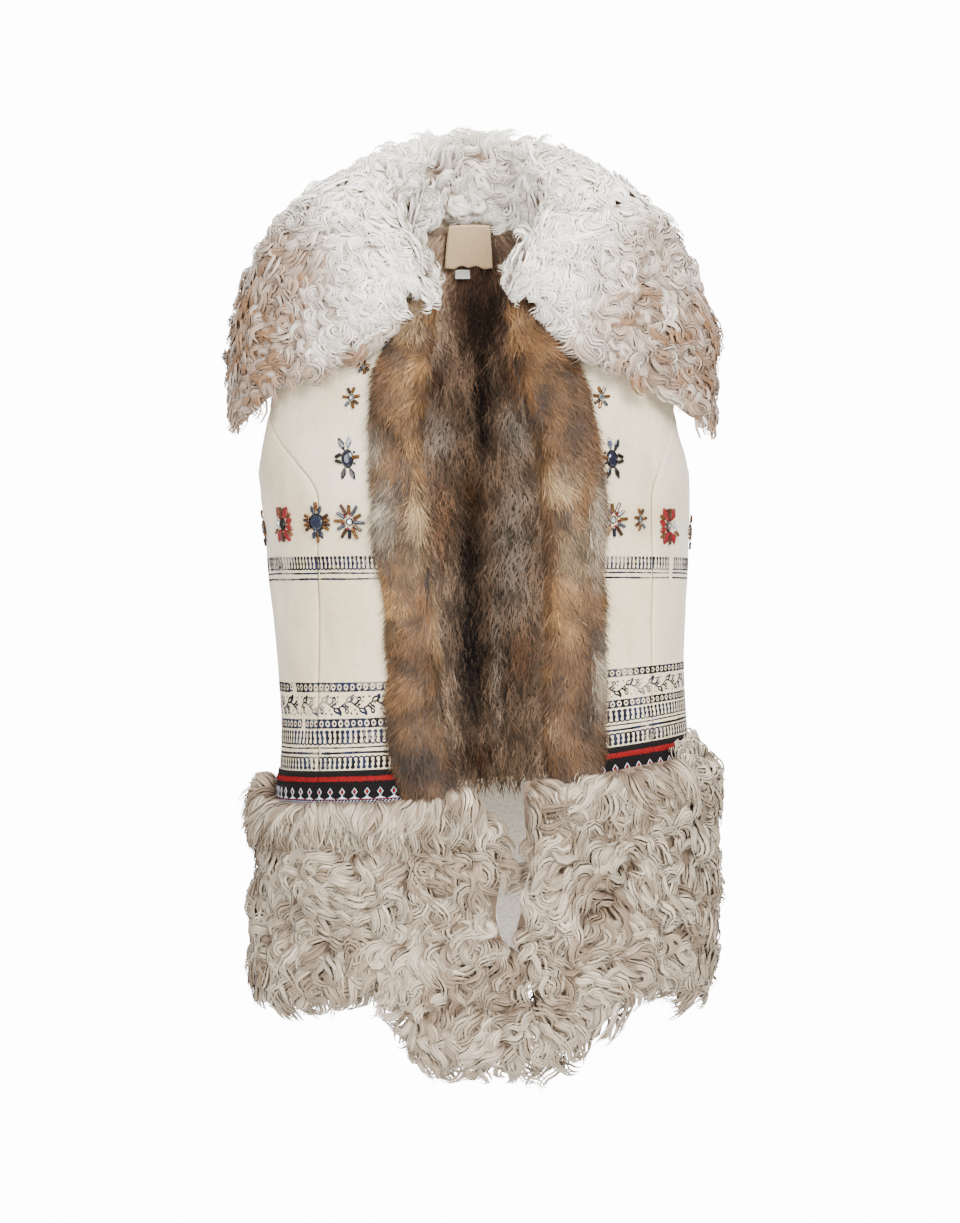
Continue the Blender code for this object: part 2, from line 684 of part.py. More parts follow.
def make_star(name, x, height, half_width, half_height, rays, stone):
    """Beads round a stone: pointed rays, then the domed stone, one body on the cloth."""
    turn = turn_at(x, height)
    per_metre = degrees_for(1.0, turn, height)
    count = 2 * rays

    def ring(reach_of, offset):
        loop = []
        for i in range(count):
            angle = 2.0 * math.pi * i / count
            across, up = reach_of(i)
            loop.append(body_point(turn + per_metre * across * math.sin(angle),
                                   height + up * math.cos(angle), offset))
        return loop

    def rays_at(i):
        share = 1.0 if i % 2 == 0 else 0.45
        return half_width * share, half_height * share

    rings = [ring(rays_at, STAR_BASE), ring(rays_at, STAR_TOP),
             ring(lambda i: (stone, stone), STAR_TOP + 0.0002),
             ring(lambda i: (0.6 * stone, 0.6 * stone), STONE_TOP)]
    builder = bmesh.new()
    verts = [[builder.verts.new(p) for p in loop] for loop in rings]
    for low, high in zip(verts, verts[1:]):
        for i in range(count):
            k = (i + 1) % count
            builder.faces.new((low[i], low[k], high[k], high[i]))
    builder.faces.new(verts[-1])
    middle = builder.verts.new(body_point(turn, height, STAR_BASE))
    for i in range(count):
        builder.faces.new((verts[0][i], verts[0][(i + 1) % count], middle))
    bmesh.ops.recalc_face_normals(builder, faces=builder.faces)
    finish(link_mesh("star_" + name, builder), STONE_BLUE)


make_back_panel()
make_front_panels(RIGHT, "right")
make_front_panels(LEFT, "left")
make_trim()
make_facings()
make_linings()
make_hem()
make_collar()
make_tab("neck_label", NECK_LABEL, TAN)
make_tab("size_tab", SIZE_TAB, IVORY)
for star in STARS:
    make_star(*star)
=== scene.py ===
"""Looks of the embroidered shearling vest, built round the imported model."""
import math

import bmesh
import bpy
import numpy as np
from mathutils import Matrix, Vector


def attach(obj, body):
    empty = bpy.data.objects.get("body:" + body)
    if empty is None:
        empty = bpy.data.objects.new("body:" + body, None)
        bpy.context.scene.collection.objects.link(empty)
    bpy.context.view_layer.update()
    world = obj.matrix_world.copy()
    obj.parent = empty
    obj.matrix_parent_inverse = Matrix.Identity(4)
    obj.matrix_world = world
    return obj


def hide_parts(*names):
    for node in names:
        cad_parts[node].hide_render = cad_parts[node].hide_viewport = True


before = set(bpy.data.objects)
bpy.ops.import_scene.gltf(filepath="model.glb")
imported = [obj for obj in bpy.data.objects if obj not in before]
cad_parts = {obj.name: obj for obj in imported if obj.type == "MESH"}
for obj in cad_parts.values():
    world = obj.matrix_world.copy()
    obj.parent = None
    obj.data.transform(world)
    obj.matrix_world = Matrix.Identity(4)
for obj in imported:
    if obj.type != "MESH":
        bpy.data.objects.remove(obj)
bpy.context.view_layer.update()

RIGHT, LEFT = -1.0, 1.0

# The garment's own sizes, in metres
SQUARENESS = 2.35
HEM_SEAM = -0.5475
TRIM_TOP = -0.5155
NECK_CORNER = -0.095
SIDE_RISE = 0.006
ARM_MIDDLE, ARM_HALF_HEIGHT, ARM_HALF_TURN = -0.160, 0.090, 28.0
PRINCESS_X = {RIGHT: -0.148, LEFT: 0.158}
PRINCESS_BEND, PRINCESS_TOP = -0.280, -0.190
HEM_BACK_BOTTOM = -0.735
HEM_PILE = 0.0305
SIDE_FRONT_TOP = -0.193
METRES_A_DEGREE = 0.0033    # of turn, at the cloth
SEAM_HALF = 0.035           # degrees between a panel's edge and the seam line
SEAM_GAP = 0.0004           # half the gap between two hem bands
ARM_ROWS = np.array((-0.2495, -0.2485, -0.2465, -0.243, -0.237, -0.228, -0.2165, -0.205, -0.190, -0.160,
                     -0.136, -0.115, -0.103, -0.092, -0.0835, -0.077, -0.0735, -0.0715, -0.0705))

# Body sections: height, half width, front depth, back depth, sideways shift
BODY_RINGS = np.array((
    (-0.800, 0.1900, 0.133, 0.128, 0.0030),
    (-0.720, 0.1920, 0.134, 0.130, 0.0030),
    (-0.620, 0.1920, 0.135, 0.131, 0.0040),
    (-0.543, 0.1920, 0.135, 0.132, 0.0040),
    (-0.464, 0.1890, 0.133, 0.131, 0.0020),
    (-0.379, 0.1940, 0.130, 0.128, -0.0005),
    (-0.287, 0.2000, 0.134, 0.125, -0.0040),
    (-0.223, 0.2025, 0.134, 0.123, -0.0075),
    (-0.150, 0.2000, 0.125, 0.120, -0.0075),
    (-0.100, 0.1950, 0.108, 0.112, -0.0075),
    (-0.070, 0.1850, 0.092, 0.102, -0.0075),
    (-0.040, 0.1450, 0.076, 0.090, -0.0075),
    (-0.020, 0.1050, 0.064, 0.079, -0.0075),
    (0.000, 0.0700, 0.050, 0.068, -0.0075),
    (0.012, 0.0560, 0.042, 0.061, -0.0075),
))

# Slope of the level lines as the vest hangs: height, rise per metre to the left
LEAN = np.array(((-0.700, 0.000), (-0.600, 0.060), (-0.520, 0.090), (-0.430, 0.045), (-0.340, 0.000)))

# Cloth edge of each front: height, x of the right front, x of the left front
FRONT_EDGE = np.array((
    (-0.5600, -0.0210, 0.0830),
    (-0.5438, -0.0310, 0.0780),
    (-0.5050, -0.0440, 0.0710),
    (-0.4600, -0.0490, 0.0710),
    (-0.3700, -0.0560, 0.0740),
    (-0.3198, -0.0610, 0.0725),
    (-0.2784, -0.0660, 0.0705),
    (-0.2380, -0.0690, 0.0670),
    (-0.1966, -0.0680, 0.0600),
    (-0.1346, -0.0570, 0.0425),
    (-0.0950, -0.0588, 0.0438),
))

# Neckline: height, turn
NECKLINE = np.array(((-0.095, 15.0), (-0.070, 22.0), (-0.040, 35.0), (-0.020, 55.0), (-0.008, 72.0),
                     (0.000, 86.0)))

# Fur facing: height, inner and outer x of the right one, inner and outer x of the left one
FACING = np.array((
    (-0.5470, -0.0200, -0.0640, 0.0680, 0.1010),
    (-0.5155, -0.0290, -0.0730, 0.0600, 0.1090),
    (-0.4700, -0.0350, -0.0780, 0.0580, 0.1100),
    (-0.4200, -0.0390, -0.0800, 0.0600, 0.1090),
    (-0.3700, -0.0430, -0.0840, 0.0610, 0.1090),
    (-0.3200, -0.0480, -0.0920, 0.0595, 0.1090),
    (-0.2800, -0.0530, -0.0950, 0.0575, 0.1085),
    (-0.2380, -0.0560, -0.0985, 0.0540, 0.1040),
    (-0.1966, -0.0550, -0.0975, 0.0470, 0.0960),
    (-0.1600, -0.0480, -0.0920, 0.0355, 0.0850),
    (-0.1360, -0.0430, -0.0810, 0.0290, 0.0640),
    (-0.1120, -0.0425, -0.0650, 0.0285, 0.0485),
))

# Section of a facing over the cloth: share of the way out from the cloth's edge, offset
FACING_FRONT = ((1.0, 0.0004), (0.97, 0.0100), (0.78, 0.0180), (0.45, 0.0220), (0.10, 0.0205))

# Section of a facing past the edge and round into the front: metres from the edge, offset
FACING_BACK = ((-0.0080, 0.0150), (-0.0128, 0.0050), (-0.0125, -0.0060), (-0.0070, -0.0145),
               (0.0015, -0.0185), (0.0098, -0.0190))

# How far the hem's curls climb over the tape: turn, rise
HEM_CLIMB = np.array((
    (-90.0, 0.024), (-84.0, 0.018), (-78.0, 0.004), (-70.0, 0.003), (-30.0, 0.003), (-12.0, 0.003),
    (6.0, 0.010), (30.0, 0.010), (44.0, 0.012), (80.0, 0.013), (90.0, 0.018), (104.0, 0.010),
    (180.0, 0.006), (252.0, 0.008), (270.0, 0.024),
))

# Section of a hem band: share of its height, depth as a share of the pile
HEM_PROFILE = np.array((
    (0.00, 0.15), (0.02, 0.60), (0.05, 0.88), (0.12, 1.00), (0.50, 1.00), (0.85, 1.00),
    (0.93, 0.92), (0.97, 0.65), (1.00, 0.20),
))

# Free edge of each hem band: height, x of the right band, x of the left band
HEM_EDGE = np.array((
    (-0.795, 0.0460, 0.0500), (-0.730, 0.0440, 0.0480), (-0.700, 0.0375, 0.0415),
    (-0.678, 0.0215, 0.0320), (-0.656, 0.0145, 0.0350), (-0.623, 0.0180, 0.0480),
    (-0.605, 0.0200, 0.0440), (-0.574, 0.0060, 0.0400), (-0.550, -0.0050, 0.0385),
    (-0.530, -0.0120, 0.0415),
))

# Lower edge of the front hem: x, height
HEM_BOTTOM = np.array((
    (-0.2300, -0.737), (-0.1600, -0.738), (-0.1240, -0.734), (-0.0920, -0.733),
    (-0.0730, -0.742), (-0.0590, -0.768), (-0.0440, -0.788), (-0.0180, -0.785),
    (0.0280, -0.789), (0.0540, -0.788), (0.0810, -0.780), (0.0970, -0.764),
    (0.1120, -0.760), (0.1220, -0.749), (0.1300, -0.735), (0.1465, -0.723),
    (0.1650, -0.725), (0.2000, -0.736), (0.2300, -0.737),
))

# Collar: station, seam turn, seam height, roll rise, right tip turn and height, left tip turn
# and height
COLLAR = np.array((
    (0.0, 14.0, -0.0965, 0.006, 22.0, -0.1180, 18.0, -0.1050),
    (1.0, 16.0, -0.0890, 0.013, 30.0, -0.1400, 25.0, -0.1320),
    (2.0, 22.0, -0.0700, 0.022, 41.0, -0.1630, 36.5, -0.1560),
    (3.0, 35.0, -0.0400, 0.030, 57.0, -0.1830, 53.0, -0.1830),
    (4.0, 55.0, -0.0200, 0.035, 75.0, -0.1980, 72.0, -0.2000),
    (5.0, 88.0, 0.0000, 0.038, 97.0, -0.1880, 97.0, -0.1900),
    (6.0, 120.0, 0.0000, 0.048, 121.0, -0.1700, 121.0, -0.1700),
    (7.0, 150.0, 0.0000, 0.054, 150.0, -0.1580, 150.0, -0.1580),
    (8.0, 180.0, 0.0000, 0.055, 180.0, -0.1530, 180.0, -0.1530),
))
COLLAR_SPLIT, COLLAR_MIDDLE, COLLAR_LAST = 5.3, 8.0, 16.0

# Collar's pile: share of the way from the seam to the tip, depth
COLLAR_PILE = np.array(((0.0, 0.009), (0.12, 0.019), (0.28, 0.024), (0.50, 0.028), (0.85, 0.028),
                        (1.0, 0.023)))

# Camera: the photograph's level, its distance, and a lens that gives its frame
CAMERA_LEVEL, CAMERA_DISTANCE, LENS_MM = -0.380, 3.0, 93.9


# Curves through tables, on arrays

def read(table, index, at):
    """A smooth curve through a table's rows, held level beyond its ends."""
    keys, values = table[:, 0], table[:, index]
    at = np.clip(np.asarray(at, float), keys[0], keys[-1])
    slopes = np.gradient(values, keys)
    i = np.clip(np.searchsorted(keys, at, side="right") - 1, 0, len(keys) - 2)
    span = keys[i + 1] - keys[i]
    t = (at - keys[i]) / span
    return (values[i] * (2 * t ** 3 - 3 * t ** 2 + 1) + slopes[i] * span * (t ** 3 - 2 * t ** 2 + t)
            + values[i + 1] * (3 * t ** 2 - 2 * t ** 3) + slopes[i + 1] * span * (t ** 3 - t ** 2))


def through(keys, points, at):
    """Points on the smooth curve that passes each of the given points at its key."""
    table = np.column_stack((keys, points))
    return np.stack([read(table, i, at) for i in (1, 2, 3)], axis=-1)


def ease(t):
    t = np.clip(t, 0.0, 1.0)
    return t * t * (3.0 - 2.0 * t)


def mix(a, b, t):
    return a + (b - a) * t


def unit(v):
    return v / np.maximum(np.linalg.norm(v, axis=-1, keepdims=True), 1e-12)


# The garment's surface

def body_skin(turn, height):
    """Points on the cloth's outer surface, for arrays of turns and heights."""
    turn, height = np.broadcast_arrays(np.asarray(turn, float), np.asarray(height, float))
    across, along = np.sin(np.radians(turn)), np.cos(np.radians(turn))
    depth = np.where(along > 0, read(BODY_RINGS, 2, height), read(BODY_RINGS, 3, height))
    reach = (np.abs(across) ** SQUARENESS + np.abs(along) ** SQUARENESS) ** (-1.0 / SQUARENESS)
    x = read(BODY_RINGS, 4, height) + read(BODY_RINGS, 1, height) * across * reach
    lean = read(LEAN, 1, height)
    rise = SIDE_RISE * across ** 2 * lean / 0.09
    return np.stack((x, -depth * along * reach, height + lean * x + rise), axis=-1)


def body_normal(turn, height):
    turn, height = np.asarray(turn, float), np.asarray(height, float)
    round_step = body_skin(turn + 0.5, height) - body_skin(turn - 0.5, height)
    up_step = body_skin(turn, height + 0.002) - body_skin(turn, height - 0.002)
    return unit(np.cross(round_step, up_step))


def body_point(turn, height, offset=0.0):
    """Points that lie offset metres outside the cloth's surface."""
    offset = np.asarray(offset, float)
    return body_skin(turn, height) + body_normal(turn, height) * offset[..., None]


def turn_at(x, height):
    """Turn, on the front half, of the surface points with this x."""
    share = (x - read(BODY_RINGS, 4, height)) / read(BODY_RINGS, 1, height)
    size = np.clip(np.abs(share), 1e-4, 0.9999)
    cotangent = (size ** -SQUARENESS - 1.0) ** (1.0 / SQUARENESS)
    return np.copysign(np.degrees(np.arctan2(1.0, cotangent)), share)


def degrees_for(length, turn, height):
    """Turn that a length round the body covers at this place."""
    step = body_skin(turn + 0.5, height) - body_skin(turn - 0.5, height)
    return length / np.linalg.norm(step, axis=-1)


def arm_turn(height):
    share = 1.0 - ((height - ARM_MIDDLE) / ARM_HALF_HEIGHT) ** 2
    return ARM_HALF_TURN * np.sqrt(np.maximum(share, 0.0))


def side_turn(side, height):
    return side * (90.0 - arm_turn(height) - SEAM_HALF)


def front_turn(side, height):
    """Turn of a front's free edge, or of its neckline above the corner."""
    edge = turn_at(read(FRONT_EDGE, 1 if side == RIGHT else 2, height), height)
    return np.where(height > NECK_CORNER, side * read(NECKLINE, 1, height), edge)


def princess_turn(side, height):
    climb = ease((height - PRINCESS_BEND) / (PRINCESS_TOP - PRINCESS_BEND))
    return mix(turn_at(PRINCESS_X[side], height), side * (90.0 - arm_turn(PRINCESS_TOP)), climb)


# Mesh writers

def mesh_piece(name, points, faces, uv=None, smooth=True):
    """Object from an array of points and an array of quads or triangles."""
    points = np.ascontiguousarray(points, np.float32).reshape(-1, 3)
    faces = np.ascontiguousarray(faces, np.int32)
    sides = faces.shape[1]
    mesh = bpy.data.meshes.new(name)
    mesh.vertices.add(len(points))
    mesh.vertices.foreach_set("co", points.ravel())
    mesh.loops.add(faces.size)
    mesh.loops.foreach_set("vertex_index", faces.ravel())
    mesh.polygons.add(len(faces))
    mesh.polygons.foreach_set("loop_start", np.arange(0, faces.size, sides, dtype=np.int32))
    mesh.polygons.foreach_set("use_smooth", np.full(len(faces), smooth))
    mesh.update(calc_edges=True)
    if uv is not None:
        layer = mesh.uv_layers.new(name="chart")
        flat = np.ascontiguousarray(np.asarray(uv, np.float32).reshape(-1, 2)[faces.ravel()])
        layer.data.foreach_set("uv", flat.ravel())
    mesh.validate()
    obj = bpy.data.objects.new(name, mesh)
    bpy.context.scene.collection.objects.link(obj)
    return obj


def grid_faces(rows, columns):
    """Quads over a grid of points, looking outwards when rows go up and columns turn."""
    first = (np.arange(rows - 1)[:, None] * columns + np.arange(columns - 1)[None, :]).ravel()
    return np.stack((first, first + 1, first + columns + 1, first + columns), axis=1)


def settle(obj, material):
    obj.data.materials.append(material)
    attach(obj, "root")
    return obj


def tint(obj, colours):
    """Colour of each point, kept as the attribute that the fur's material reads."""
    layer = obj.data.color_attributes.new("tint", "FLOAT_COLOR", "POINT")
    flat = np.ones((len(obj.data.vertices), 4), np.float32)
    flat[:, :3] = np.asarray(colours, np.float32).reshape(-1, 3)
    layer.data.foreach_set("color", flat.ravel())


# Fur: where hairs root, and the ribbons that draw them

def spread(grid, count, rng):
    """Evenly spread roots over a grid of points: place, outward, down, sideways, row, column."""
    rows, columns = grid.shape[:2]
    row_length = np.linalg.norm(np.diff(grid, axis=0), axis=-1).mean(axis=1)
    column_length = np.linalg.norm(np.diff(grid, axis=1), axis=-1).mean(axis=0)
    row_share = np.concatenate(([0.0], np.cumsum(row_length))) / row_length.sum()
    column_share = np.concatenate(([0.0], np.cumsum(column_length))) / column_length.sum()
    k = np.arange(count)
    a = (0.5 + k * 0.7548776662) % 1.0
    b = (0.5 + k * 0.5698402910) % 1.0
    a = np.clip(a + rng.normal(0, 0.35 / math.sqrt(count), count), 0, 1)
    b = np.clip(b + rng.normal(0, 0.35 / math.sqrt(count), count), 0, 1)
    r = np.interp(a, row_share, np.arange(rows))
    c = np.interp(b, column_share, np.arange(columns))
    return roots_at(grid, r, c)


def roots_at(grid, r, c):
    rows, columns = grid.shape[:2]
    i = np.clip(r.astype(int), 0, rows - 2)
    j = np.clip(c.astype(int), 0, columns - 2)
    u, v = (r - i)[:, None], (c - j)[:, None]
    low, high = mix(grid[i, j], grid[i, j + 1], v), mix(grid[i + 1, j], grid[i + 1, j + 1], v)
    place = mix(low, high, u)
    down = unit(low - high)
    side = unit(mix(grid[i, j + 1] - grid[i, j], grid[i + 1, j + 1] - grid[i + 1, j], u))
    outward = unit(np.cross(down, side))
    return place, outward, down, unit(np.cross(outward, down)), r, c


def tufted(roots, rng, size, depth):
    """The same roots on a surface that rises and sinks in tufts."""
    place, outward = roots[0], roots[1]
    rise = np.clip(swirl(place, rng, size, 1.0), -1.2, 1.2) * depth
    return (place + outward * rise[:, None],) + tuple(roots[1:])


def swirl(place, rng, size, amount):
    """A slowly changing angle over the surface, so that neighbours lie alike."""
    angle = np.zeros(len(place))
    for scale in (1.0, 0.55):
        wave = rng.normal(0, 1, (4, 3)) / (size * scale)
        phase = rng.uniform(0, 2 * math.pi, 4)
        angle += np.sin(place @ wave.T + phase).sum(axis=1) * scale
    return angle * amount / 1.6


def ribbons(name, centre, across, shade, tints):
    """Ribbons along rows of centre points. The chart's U is a whole number of the ribbon's own,
    from 0 to 99 after its shade, plus the share across it; V is the share along it."""
    count, steps = centre.shape[:2]
    points = np.stack((centre - across, centre + across), axis=2)
    base = (np.arange(count)[:, None] * steps * 2 + np.arange(steps - 1)[None, :] * 2).ravel()
    faces = np.stack((base, base + 1, base + 3, base + 2), axis=1)
    along = np.broadcast_to(np.linspace(0.01, 0.99, steps)[None, :, None], (count, steps, 2))
    own = np.floor(shade * 99.0)[:, None, None] + np.array((0.04, 0.96))[None, None, :]
    own = np.broadcast_to(own, (count, steps, 2))
    obj = mesh_piece(name, points, faces, uv=np.stack((own, along), axis=-1))
    tint(obj, np.broadcast_to(tints[:, None, None, :], (count, steps, 2, 3)))
    return obj


def hair_path(angle, step):
    """How far aside and how far down a hair has come at each step, from the way it points."""
    start = np.zeros((len(angle), 1))
    return [np.concatenate((start, np.cumsum(part(angle[:, 1:]) * step, axis=1)), axis=1)
            for part in (np.sin, np.cos)]


def across_ribbon(beside, over, roll, width):
    """From a ribbon's middle to its edge, for a ribbon rolled about its own line."""
    flat = beside * np.cos(roll)[..., None] - over * np.sin(roll)[..., None]
    return flat * (0.5 * width)[..., None]


def curls(name, roots, rng, strands, steps, length, lift, radius, width, waves, bend, lean, sag,
          calm, tints):
    """Curly locks: each a bundle of ribbons that share one C- or S-shaped path.
    Neighbours bend alike; calm from 0 to 1 straightens and flattens a lock."""
    place, outward, down, side, _, _ = roots
    count = len(place)
    down = unit(down + np.array((0.0, 0.0, -sag)))
    down = unit(down - outward * (down * outward).sum(-1, keepdims=True) * 0.7)
    side = unit(np.cross(outward, down))
    t = np.linspace(0, 1, steps)[None, :]
    hand = np.sign(swirl(place, rng, 0.020, 1.0) + rng.normal(0, 0.35, count))
    phase = (1.3 * swirl(place, rng, 0.030, 1.0) + rng.normal(0, 0.45, count))[:, None]
    own_waves = rng.uniform(*waves, count)[:, None]
    own_bend = (rng.uniform(*bend, count) * hand * (1.0 - 0.75 * calm))[:, None]
    angle = lean[:, None] + own_bend * np.cos(2 * math.pi * own_waves * t + phase) * (0.75 + 0.40 * t)
    own_length = rng.uniform(*length, count)[:, None]
    x, y = hair_path(angle, own_length / (steps - 1))
    own_lift = (rng.uniform(*lift, count) * (1.0 - 0.6 * calm))[:, None]
    rise = own_lift * (1.0 - (1.0 - t) ** 2.2) - 0.60 * own_lift * t ** 3
    rise = rise + 0.10 * own_lift * np.sin(2 * math.pi * own_waves * t + phase + 1.6)
    heavy = sag * 0.25 * own_length * t ** 2
    spine = (place[:, None] + side[:, None] * x[..., None] + down[:, None] * y[..., None]
             + outward[:, None] * rise[..., None])
    spine[..., 2] -= heavy
    ahead = unit(np.gradient(spine, axis=1))
    over = np.broadcast_to(outward[:, None], spine.shape)
    beside = unit(np.cross(ahead, over))
    over = np.cross(beside, ahead)
    bundle = rng.uniform(*radius, count)[:, None] * (0.45 + 0.80 * np.sin(math.pi * (0.14 + 0.82 * t)))
    centre, across = [], []
    for share in np.linspace(-1, 1, strands):
        own = share + rng.uniform(-0.6, 0.6, count)[:, None] / strands
        dome = np.sqrt(np.maximum(1.05 - own ** 2, 0.0)) - 0.55
        fray = rng.normal(0, 0.14, count)[:, None] * t ** 2
        end = rng.uniform(-0.16, 0.12, count)[:, None]
        line = (spine + beside * (bundle * (own + fray))[..., None]
                + over * (bundle * (0.80 * dome + rng.normal(0, 0.08, count)[:, None]))[..., None])
        line = line + ahead * (end * own_length * t ** 3)[..., None]
        tip = np.clip((1.0 - t) * 2.3, 0.05, 1.0) * np.clip(0.55 + t * 2.5, 0, 1)
        roll = own * 1.05 + rng.normal(0, 0.16, count)[:, None]
        centre.append(line)
        across.append(across_ribbon(beside, over, roll, rng.uniform(*width, count)[:, None] * tip))
    centre = np.stack(centre, axis=1).reshape(-1, steps, 3)
    across = np.stack(across, axis=1).reshape(-1, steps, 3)
    shade = (0.55 * np.repeat(rng.uniform(0, 1, count), strands)
             + 0.45 * rng.uniform(0, 1, count * strands))
    return ribbons(name, centre, across, shade, np.repeat(tints, strands, axis=0))


def chosen(roots, keep):
    """Only those roots that keep marks."""
    return tuple(part[keep] for part in roots)


def straight_fur(name, roots, rng, steps, length, lift, width, lean, tints, clump):
    """Straight fur: single ribbons combed down, each lying over the next."""
    place, outward, down, side, _, _ = roots
    count = len(place)
    t = np.linspace(0, 1, steps)[None, :]
    angle = (lean + rng.normal(0, clump, count))[:, None] + rng.normal(0, 0.28, count)[:, None] * t
    own_length = rng.uniform(*length, count)[:, None]
    x, y = hair_path(angle, own_length / (steps - 1))
    own_lift = rng.uniform(*lift, count)[:, None]
    rise = own_lift * np.sin(0.5 * math.pi * np.clip(t * 1.25, 0, 1)) - 0.30 * own_lift * t ** 3
    line = (place[:, None] + side[:, None] * x[..., None] + down[:, None] * y[..., None]
            + outward[:, None] * rise[..., None])
    ahead = unit(np.gradient(line, axis=1))
    beside = unit(np.cross(ahead, np.broadcast_to(outward[:, None], line.shape)))
    over = np.cross(beside, ahead)
    roll = rng.normal(0, 0.20, count)[:, None]
    tip = np.clip((1.0 - t) * 1.6, 0.08, 1.0)
    across = across_ribbon(beside, over, roll, rng.uniform(*width, count)[:, None] * tip)
    return ribbons(name, line, across, rng.uniform(0, 1, count), tints)


# Surfaces that the hairs stand on

def hem_bottom(turn):
    """Height of the hem's lower edge under each turn."""
    front = read(HEM_BOTTOM, 1, body_skin(turn, -0.74)[..., 0])
    blend = ease((np.abs(turn) - 70.0) / 20.0)
    return np.where(np.abs(turn) > 90.0, HEM_BACK_BOTTOM, mix(front, HEM_BACK_BOTTOM, blend))


def facing_outer_turn(side, height):
    return turn_at(read(FACING, 2 if side == RIGHT else 4, height), height)


def facing_inner_turn(side, height):
    return turn_at(read(FACING, 1 if side == RIGHT else 3, height), height)


def hem_grid(side, depth_share, columns=90, rows=32):
    """Points of a hem band, part way into its curls: rows up, columns by growing turn."""
    share = np.linspace(0.0, 1.0, columns)
    gap = SEAM_GAP / METRES_A_DEGREE
    up = np.linspace(0.0, 1.0, rows)
    plump = np.ones(columns)
    if side == 0.0:
        base_turn = mix(90.0 + gap, 270.0 - gap, share)
    else:
        lowest = turn_at(read(HEM_EDGE, 1 if side == RIGHT else 2, -0.74), -0.74)
        base_turn = mix(side * (90.0 - gap), lowest, share)
        plump = np.sqrt(np.maximum(1.0 - (1.0 - np.minimum((1.0 - share) / 0.06, 1.0)) ** 2, 0.10))
    bottom = hem_bottom(base_turn)
    top = HEM_SEAM + read(HEM_CLIMB, 1, base_turn)
    height = mix(bottom[None, :] + 0.010, top[None, :], up[:, None])
    section = np.interp(up, HEM_PROFILE[:, 0], HEM_PROFILE[:, 1])
    depth = section[:, None] * HEM_PILE * depth_share * plump[None, :]
    if side == 0.0:
        turn = np.broadcast_to(base_turn, height.shape)
    else:
        free = turn_at(read(HEM_EDGE, 1 if side == RIGHT else 2, height), height)
        turn = mix(side * (90.0 - gap), free, share[None, :])
    points = body_point(turn, height, depth)
    return points if side != LEFT else points[:, ::-1]


def collar_paths(stations):
    """Six points of the hide at each station, from the neck seam over the roll to the tip."""
    first = stations <= COLLAR_MIDDLE
    near = np.where(first, stations, COLLAR_LAST - stations)
    seam_turn, seam_height, rise = (read(COLLAR, i, near) for i in (1, 2, 3))
    tip_turn = np.where(first, -read(COLLAR, 4, near), read(COLLAR, 6, near) - 360.0)
    tip_height = np.where(first, read(COLLAR, 5, near), read(COLLAR, 7, near))
    seam_turn = np.where(first, -seam_turn, seam_turn - 360.0)
    side = np.where(seam_turn < -180.0, 1.0, -1.0)
    beyond = np.where(np.abs(seam_height) < 0.004, 0.0, degrees_for(0.0018, seam_turn, seam_height) * side)
    seam = body_point(seam_turn - beyond, seam_height + 0.0016, np.full(len(near), -0.0008))
    out = seam - np.array((0.0, 0.01, 0.0))
    out[:, 0] -= read(BODY_RINGS, 4, 0.0)
    out[:, 2] = 0.0
    out = unit(out)
    up = np.array((0.0, 0.0, 1.0))
    roll = seam + up * rise[:, None] - out * (0.10 * rise)[:, None]
    over = roll + out * (0.75 * rise)[:, None] - up * (0.25 * rise)[:, None]
    lower = []
    for around, down, offset in ((0.40, 0.24, 0.0170), (0.75, 0.55, 0.0090), (1.0, 1.0, 0.0070)):
        turn, height = mix(seam_turn, tip_turn, around), mix(seam_height, tip_height, down)
        lower.append(body_point(turn, height, np.full(len(near), offset)))
    return np.stack((seam, roll, over, *lower), axis=1)


def collar_grid(first, last, depth_share, columns=70, rows=36):
    """Points of a collar piece, part way into its curls: rows up from the tip, columns turning."""
    stations = np.linspace(first, last, columns)
    shares = np.linspace(0.0, 1.0, rows)
    lines = []
    for path in collar_paths(stations):
        lengths = np.concatenate(([0.0], np.cumsum(np.linalg.norm(np.diff(path, axis=0), axis=1))))
        lines.append(through(lengths, path, shares * lengths[-1]))
    hide = np.stack(lines, axis=1)
    normal = unit(np.cross(np.gradient(hide, axis=1), np.gradient(hide, axis=0)))
    fullness = mix(0.45, 1.0, ease(np.minimum(stations, COLLAR_LAST - stations) / 1.6))
    pile = read(COLLAR_PILE, 1, shares)[:, None] * fullness[None, :]
    points = hide + normal * (pile * depth_share)[..., None]
    return points[::-1, ::-1]


def facing_grid(side, depth_share, rows=70, columns=30):
    """Points of a rolled facing: rows up, columns from over the cloth round into the front."""
    heights = np.linspace(FACING[0, 0], FACING[-1, 0], rows)
    edge, outer = front_turn(side, heights), facing_outer_turn(side, heights)
    inner = facing_inner_turn(side, heights)
    past = (inner - edge) / FACING_BACK[1][0]
    metre = side * degrees_for(1.0, edge, heights)
    plump = np.where(heights < -0.54, 0.80, 1.0 - 0.35 * ease((heights + 0.14) / 0.035)) * depth_share
    turns = [mix(edge, outer, share) for share, _ in FACING_FRONT]
    turns += [edge + metres * (past if metres < 0.0 else metre) for metres, _ in FACING_BACK]
    offsets = [offset * plump for _, offset in FACING_FRONT + FACING_BACK]
    corners = np.stack([body_point(t, heights, o) for t, o in zip(turns, offsets)], axis=1)
    keys = np.arange(len(offsets), dtype=float)
    points = np.stack([through(keys, row, np.linspace(0.0, keys[-1], columns)) for row in corners])
    return points if side == RIGHT else points[:, ::-1]


